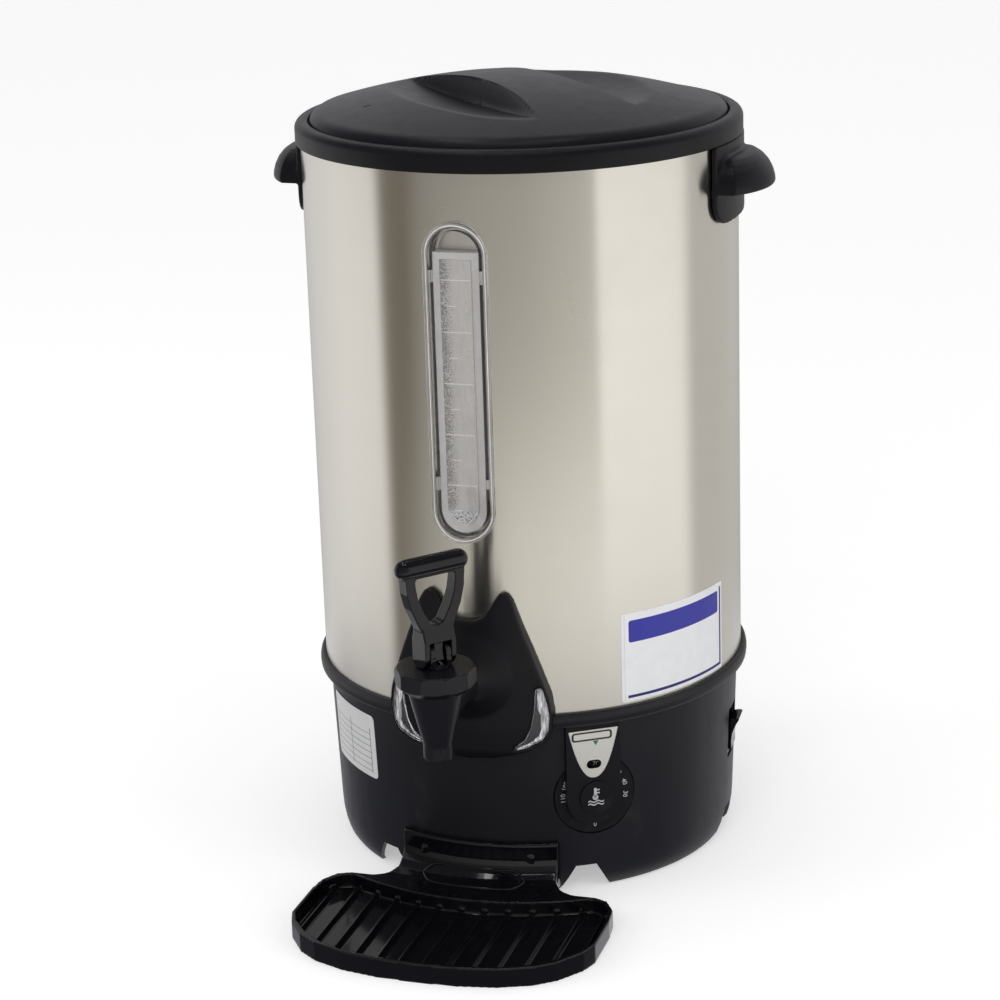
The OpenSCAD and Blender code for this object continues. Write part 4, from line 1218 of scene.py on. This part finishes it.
def side_label_paint(tree, turn, height):
    """A plain band and two rules, with nothing written on them."""
    film = (0.86, 0.865, 0.885, 1)
    crease_colour = (0.62, 0.63, 0.66, 1)
    blue = colours().band
    low, high = span("side_label", 2)
    half = asin(SIDE_LABEL_REACH / LABEL_R) * LABEL_R
    u = times(tree, minus(tree, turn, SIDE_LABEL_TURN), LABEL_R)
    band_middle = (-0.2 * MM, high - 11.4 * MM)
    band_half = (half - 5 * MM, 6.8 * MM)
    band = rounded_mask(tree, u, height, band_middle, band_half, 1.6 * MM)
    edge = half - 1.5 * MM
    bottom, top = low + 2.2 * MM, high - 2.8 * MM
    right = in_box(tree, u, height, (edge - 1.9 * MM, edge), (bottom, top))
    foot = in_box(tree, u, height, (4 * MM - half, edge), (bottom, bottom + 1.8 * MM))
    crease = inside(tree, u, 1.9 * MM - half, 2.2 * MM - half)
    paper = mix_colour(tree, crease, film, crease_colour)
    edged = mix_colour(tree, math(tree, "MAXIMUM", right, foot), paper, rgba([c * 0.42 for c in blue]))
    return mix_colour(tree, band, edged, rgba(blue))


def base_label_paint(tree, turn, height):
    """Plain rules, as on a plate with its fields left empty."""
    white = (0.66, 0.66, 0.66, 1)
    ink = (0.05, 0.05, 0.05, 1)
    pitch, rule = 4.1 * MM, 0.35 * MM
    low, high = span("base_label", 2)
    rows = math(tree, "LESS_THAN", math(tree, "MODULO", minus(tree, height, low), pitch), rule)
    field = inside(tree, height, low + 3 * MM, high - 9 * MM)
    wide = inside(tree, turn, radians(BASE_LABEL_TURN - BASE_LABEL_HALF),
                  radians(BASE_LABEL_TURN + BASE_LABEL_HALF))
    first, middle, last = (inside(tree, turn, radians(a), radians(b)) for a, b in BASE_LABEL_POSTS)
    posts = times(tree, plus(tree, first, plus(tree, middle, last)), field)
    rows = times(tree, times(tree, rows, field), wide)
    return mix_colour(tree, plus(tree, rows, posts, clamp=True), white, ink)


def make_labels():
    coat("side_label", paper_label("side_label_film", side_label_paint))
    coat("base_label", paper_label("base_label_film", base_label_paint))


# ---- Inner parts ----


def make_inner():
    coat("inner_tank", tank_steel())
    coat("tank_base", tank_steel())
    coat("heating_plate", aluminium())
    coat("heating_element", element_sheath())
    coat("sensor_bulb", brass())
    coat("inlet_pins", brass())
    coat("thermal_cutouts", glazed_clay())
    coat("terminal_block", ivory_block())


# ---- Stage ----


FLOOR_HALF = 6.0
FLOOR_GLOW = 0.42


def white_where_seen(tree, felt):
    """Strength that is 1 where it is seen or mirrored, and less as light."""
    path = node(tree, "ShaderNodeLightPath").outputs
    seen = math(tree, "MAXIMUM", path["Is Camera Ray"],
                math(tree, "MAXIMUM", path["Is Glossy Ray"], path["Is Transmission Ray"]))
    return plus(tree, times(tree, seen, 1.0 - felt), felt)


def make_world():
    world = bpy.data.worlds.new("room")
    world.use_nodes = True
    bpy.context.scene.world = world
    tree = world.node_tree
    feed(tree, tree.nodes["Background"], {
        "Color": (1, 1, 1, 1), "Strength": white_where_seen(tree, studio().ambient)})


@finish_maker
def pale_floor(tree, shader):
    """A matt floor that the camera sees a little brighter, so that it runs into the backdrop."""
    path = node(tree, "ShaderNodeLightPath").outputs
    feed(tree, shader, {
        "Base Color": (0.8, 0.8, 0.8, 1), "Roughness": 0.8, "Specular IOR Level": 0.1,
        "Emission Color": (1, 1, 1, 1),
        "Emission Strength": times(tree, path["Is Camera Ray"], FLOOR_GLOW)})


def flat_square(name, half, height):
    corners = [(x, y, height) for x, y in box_outline(-half, -half, half, half)]
    return new_object(name, corners, [(0, 1, 2, 3)])


def make_floor():
    floor = flat_square("floor", FLOOR_HALF, 0)
    floor.data.materials.append(pale_floor("floor_pale"))
    floor.visible_glossy = False


def ramp(tree, value, stops):
    """Colours along a value from 0 to 1; stops are (position, colour)."""
    made = node(tree, "ShaderNodeValToRGB", {0: value})
    line = made.color_ramp.elements
    while len(line) < len(stops):
        line.new(0.5)
    for item, (position, colour) in zip(line, stops):
        item.position = position
        item.color = rgba(colour)
    return made.outputs[0]


@finish_maker
def lit_screen(tree, shader, light):
    """A black face that glows; light(tree, xyz) gives its colour."""
    xyz = split(tree, object_place(tree))
    feed(tree, shader, {
        "Base Color": (0, 0, 0, 1), "Specular IOR Level": 0.0, "Emission Strength": 1.0,
        "Emission Color": light(tree, xyz)})


def screen(obj, light):
    """Makes an object a studio screen that is only seen mirrored."""
    obj.data.materials.append(lit_screen(obj.name, light))
    for ray in ("camera", "diffuse", "transmission", "volume_scatter", "shadow"):
        setattr(obj, "visible_" + ray, False)


SCREEN_R = 0.5
SCREEN_LOW_Z, SCREEN_HIGH_Z = -0.6, 1.3
ROOF_HALF = 0.6
# Bands of the screen as (degrees round from the view, colour).
SCREEN_LEFT = [
    (-180, (0.30, 0.30, 0.31)), (-130, (0.76, 0.76, 0.76)), (-100, (0.93, 0.93, 0.93)),
    (-73, (0.93, 0.92, 0.90)), (-68, (0.19, 0.165, 0.13)),
]
SCREEN_RIGHT = [
    (34.5, (1.16, 1.15, 1.11)), (80, (1.08, 1.07, 1.04)), (88, (0.60, 0.59, 0.57)),
    (130, (0.60, 0.60, 0.58)), (180, (0.30, 0.30, 0.31)),
]
SCREEN_HIGH = SCREEN_LEFT + [
    (-55, (0.19, 0.17, 0.135)), (-48, (0.32, 0.305, 0.27)), (-36, (0.38, 0.365, 0.33)),
    (0, (0.44, 0.43, 0.39)), (18, (0.55, 0.54, 0.49)), (33, (0.64, 0.63, 0.59)),
] + SCREEN_RIGHT
SCREEN_LOW = SCREEN_LEFT + [
    (-50, (0.44, 0.43, 0.39)), (-16, (0.90, 0.89, 0.83)), (-4, (1.05, 1.04, 0.98)),
    (33, (1.15, 1.14, 1.09)),
] + SCREEN_RIGHT
# Where the wall's light changes, as heights, and for the last as a distance behind the urn.
WALL_BLEND = (0.22, 0.10)
WALL_TOP = (0.42, 0.54)
WALL_FOOT = (-0.005, -0.06)
WALL_BACK = (0.05, 0.25)
# Lit places on the roof, as (x range, y range).
STRIPS = [((-0.31, -0.26), (-0.4, 0.25)), ((0.22, 0.27), (-0.4, 0.0))]
PANEL = ((-0.30, 0.22), (-0.52, -0.45))


def wall_light(tree, xyz):
    """Light and dark bands round the urn, brighter low down in front, and dark above and below."""
    dark = (0.19, 0.193, 0.225, 1)
    bright = (0.72, 0.72, 0.76, 1)
    turn = minus(tree, turn_round(tree, xyz[0], xyz[1]), VIEW_TURN)
    share = math(tree, "DIVIDE", turn, FULL_TURN)
    share = node(tree, "ShaderNodeMath", {0: share, 1: 0.5, 2: -0.5}, operation="WRAP").outputs[0]
    share = plus(tree, share, 0.5)
    high_bands, low_bands = (
        ramp(tree, share, [((a + 180) / 360, colour) for a, colour in lights])
        for lights in (SCREEN_HIGH, SCREEN_LOW))
    bands = mix_colour(tree, spread(tree, xyz[2], *WALL_BLEND), high_bands, low_bands)
    dim = math(tree, "MAXIMUM", spread(tree, xyz[2], *WALL_TOP), spread(tree, xyz[2], *WALL_FOOT))
    upper = mix_colour(tree, spread(tree, xyz[1], *WALL_BACK), dark, bright)
    return mix_colour(tree, dim, bands, upper)


def roof_light(tree, xyz):
    """A dark roof with a bright panel across the front and a long bright strip at each side."""
    dark = (0.16, 0.16, 0.19, 1)
    panel_light = (14.0, 14.0, 14.0, 1)
    strip_light = (12.0, 12.0, 12.0, 1)
    left, right = (in_box(tree, xyz[0], xyz[1], *strip) for strip in STRIPS)
    panel = in_box(tree, xyz[0], xyz[1], *PANEL)
    roof = mix_colour(tree, panel, dark, panel_light)
    return mix_colour(tree, plus(tree, left, right, clamp=True), roof, strip_light)


def make_screens():
    sides = 96
    verts, faces = [], []
    for k in range(sides):
        a = FULL_TURN * k / sides
        x, y = SCREEN_R * sin(a), -SCREEN_R * cos(a)
        verts += [(x, y, SCREEN_LOW_Z), (x, y, SCREEN_HIGH_Z)]
        n = (2 * k + 2) % (2 * sides)
        faces.append((2 * k, n, n + 1, 2 * k + 1))
    screen(new_object("screen_wall", verts, faces), wall_light)
    screen(flat_square("screen_roof", ROOF_HALF, SCREEN_HIGH_Z), roof_light)


AIM = Vector((0, 0, 0.24))
VIEW_DISTANCE, VIEW_HEIGHT, VIEW_LENS = 1.640, 0.7225, 99.9
VIEW_PITCH, VIEW_YAW, VIEW_ROLL = 0.3032, -0.0111, -0.0318


def softbox(name, place, size, power):
    data = bpy.data.lights.new(name, "AREA")
    data.shape = "RECTANGLE"
    data.size, data.size_y = size
    data.energy = power
    lamp = add_object(name, data)
    lamp.location = place
    lamp.visible_glossy = False
    lamp.rotation_euler = (AIM - Vector(place)).to_track_quat("-Z", "Y").to_euler()


def make_camera():
    """Camera at the chosen view: it looks a little down from the front right."""
    look = Vector((sin(VIEW_YAW) * cos(VIEW_PITCH), cos(VIEW_YAW) * cos(VIEW_PITCH), -sin(VIEW_PITCH)))
    right = Vector((cos(VIEW_YAW), -sin(VIEW_YAW), 0))
    up = right.cross(look)
    level_right = cos(VIEW_ROLL) * right + sin(VIEW_ROLL) * up
    level_up = -sin(VIEW_ROLL) * right + cos(VIEW_ROLL) * up
    spin = Matrix.Rotation(VIEW_TURN, 3, "Z")
    axes = Matrix((spin @ level_right, spin @ level_up, spin @ -look)).transposed().to_4x4()
    axes.translation = spin @ Vector((0, -VIEW_DISTANCE, VIEW_HEIGHT))
    data = bpy.data.cameras.new("view")
    data.sensor_width = 36
    data.lens = VIEW_LENS
    data.clip_end = 50
    camera = add_object("view", data)
    camera.matrix_world = axes
    bpy.context.scene.camera = camera


def make_stage():
    make_camera()
    make_world()
    make_floor()
    make_screens()
    softbox("front_softbox", (0.15, -2.2, 1.5), (1.2, 1.4), studio().key)
    softbox("left_softbox", (-2.0, -0.9, 0.9), (0.8, 1.8), studio().side)
    softbox("right_softbox", (2.1, -0.6, 0.9), (0.8, 1.8), studio().side)
    bpy.context.scene.view_settings.view_transform = "Standard"


# ---- Operators ----


class Undoable:
    """Lets each maker be undone."""

    bl_options = {"REGISTER", "UNDO"}


class URN_OT_stage(Undoable, bpy.types.Operator):
    """Sets the camera, floor, room and softboxes"""

    bl_idname = "urn.stage"
    bl_label = "Stage"

    def execute(self, context):
        make_stage()
        return {"FINISHED"}


class URN_OT_shell(Undoable, bpy.types.Operator):
    """Makes the brushed shell"""

    bl_idname = "urn.shell"
    bl_label = "Shell"

    def execute(self, context):
        make_shell()
        return {"FINISHED"}


class URN_OT_base(Undoable, bpy.types.Operator):
    """Makes the base moulding and its fittings"""

    bl_idname = "urn.base"
    bl_label = "Base"

    def execute(self, context):
        make_base()
        return {"FINISHED"}


class URN_OT_rim(Undoable, bpy.types.Operator):
    """Makes the top rim"""

    bl_idname = "urn.rim"
    bl_label = "Rim"

    def execute(self, context):
        make_rim()
        return {"FINISHED"}


class URN_OT_lid(Undoable, bpy.types.Operator):
    """Makes the lid with its finger scoops"""

    bl_idname = "urn.lid"
    bl_label = "Lid"

    def execute(self, context):
        make_lid()
        return {"FINISHED"}


class URN_OT_handles(Undoable, bpy.types.Operator):
    """Makes the two side handles"""

    bl_idname = "urn.handles"
    bl_label = "Handles"

    def execute(self, context):
        make_handles()
        return {"FINISHED"}


class URN_OT_gauge(Undoable, bpy.types.Operator):
    """Makes the sight window and finishes the gauge"""

    bl_idname = "urn.gauge"
    bl_label = "Gauge"

    def execute(self, context):
        make_gauge()
        return {"FINISHED"}


class URN_OT_fascia(Undoable, bpy.types.Operator):
    """Makes the shield and its lenses"""

    bl_idname = "urn.fascia"
    bl_label = "Tap shield"

    def execute(self, context):
        make_fascia()
        return {"FINISHED"}


class URN_OT_tap(Undoable, bpy.types.Operator):
    """Makes the tap and its collar"""

    bl_idname = "urn.tap"
    bl_label = "Tap"

    def execute(self, context):
        make_tap()
        return {"FINISHED"}


class URN_OT_lever(Undoable, bpy.types.Operator):
    """Makes the lever and its foot"""

    bl_idname = "urn.lever"
    bl_label = "Lever"

    def execute(self, context):
        make_lever()
        return {"FINISHED"}


class URN_OT_dial(Undoable, bpy.types.Operator):
    """Makes the thermostat dial and its figures"""

    bl_idname = "urn.dial"
    bl_label = "Dial"

    def execute(self, context):
        make_dial()
        return {"FINISHED"}


class URN_OT_bridge(Undoable, bpy.types.Operator):
    """Makes the bridge, badge and symbol over the dial"""

    bl_idname = "urn.bridge"
    bl_label = "Bridge"

    def execute(self, context):
        make_bridge()
        return {"FINISHED"}


class URN_OT_switch(Undoable, bpy.types.Operator):
    """Makes the rocker switch"""

    bl_idname = "urn.switch"
    bl_label = "Switch"

    def execute(self, context):
        make_switch()
        return {"FINISHED"}


class URN_OT_tray(Undoable, bpy.types.Operator):
    """Makes the drip tray"""

    bl_idname = "urn.tray"
    bl_label = "Drip tray"

    def execute(self, context):
        make_tray()
        return {"FINISHED"}


class URN_OT_labels(Undoable, bpy.types.Operator):
    """Finishes the two plain labels"""

    bl_idname = "urn.labels"
    bl_label = "Labels"

    def execute(self, context):
        make_labels()
        return {"FINISHED"}


class URN_OT_inner(Undoable, bpy.types.Operator):
    """Finishes the parts inside"""

    bl_idname = "urn.inner"
    bl_label = "Inner parts"

    def execute(self, context):
        make_inner()
        return {"FINISHED"}


OPERATORS = [
    URN_OT_stage, URN_OT_shell, URN_OT_base, URN_OT_rim, URN_OT_lid, URN_OT_handles,
    URN_OT_gauge, URN_OT_fascia, URN_OT_tap, URN_OT_lever, URN_OT_dial,
    URN_OT_bridge, URN_OT_switch, URN_OT_tray, URN_OT_labels, URN_OT_inner,
]


class URN_PT_panel(bpy.types.Panel):
    """Lists the urn's pieces and settings."""

    bl_idname = "URN_PT_panel"
    bl_label = "Coffee Urn"
    bl_space_type = "VIEW_3D"
    bl_region_type = "UI"
    bl_category = "Coffee Urn"

    def draw(self, context):
        for made in OPERATORS:
            self.layout.operator(made.bl_idname)
        for settings in (colours(), shapes(), studio()):
            for key in settings.__annotations__:
                self.layout.prop(settings, key)


CLASSES = [UrnColours, UrnShapes, UrnStudio, *OPERATORS, URN_PT_panel]


def register():
    for made in CLASSES:
        bpy.utils.register_class(made)
    bpy.types.Scene.urn_colours = PointerProperty(type=UrnColours)
    bpy.types.Scene.urn_shapes = PointerProperty(type=UrnShapes)
    bpy.types.Scene.urn_studio = PointerProperty(type=UrnStudio)


def unregister():
    for name in ("urn_colours", "urn_shapes", "urn_studio"):
        delattr(bpy.types.Scene, name)
    for made in reversed(CLASSES):
        bpy.utils.unregister_class(made)


def main():
    register()
    for made in OPERATORS:
        getattr(bpy.ops.urn, made.bl_idname.split(".")[1])()


if __name__ == "__main__":
    main()
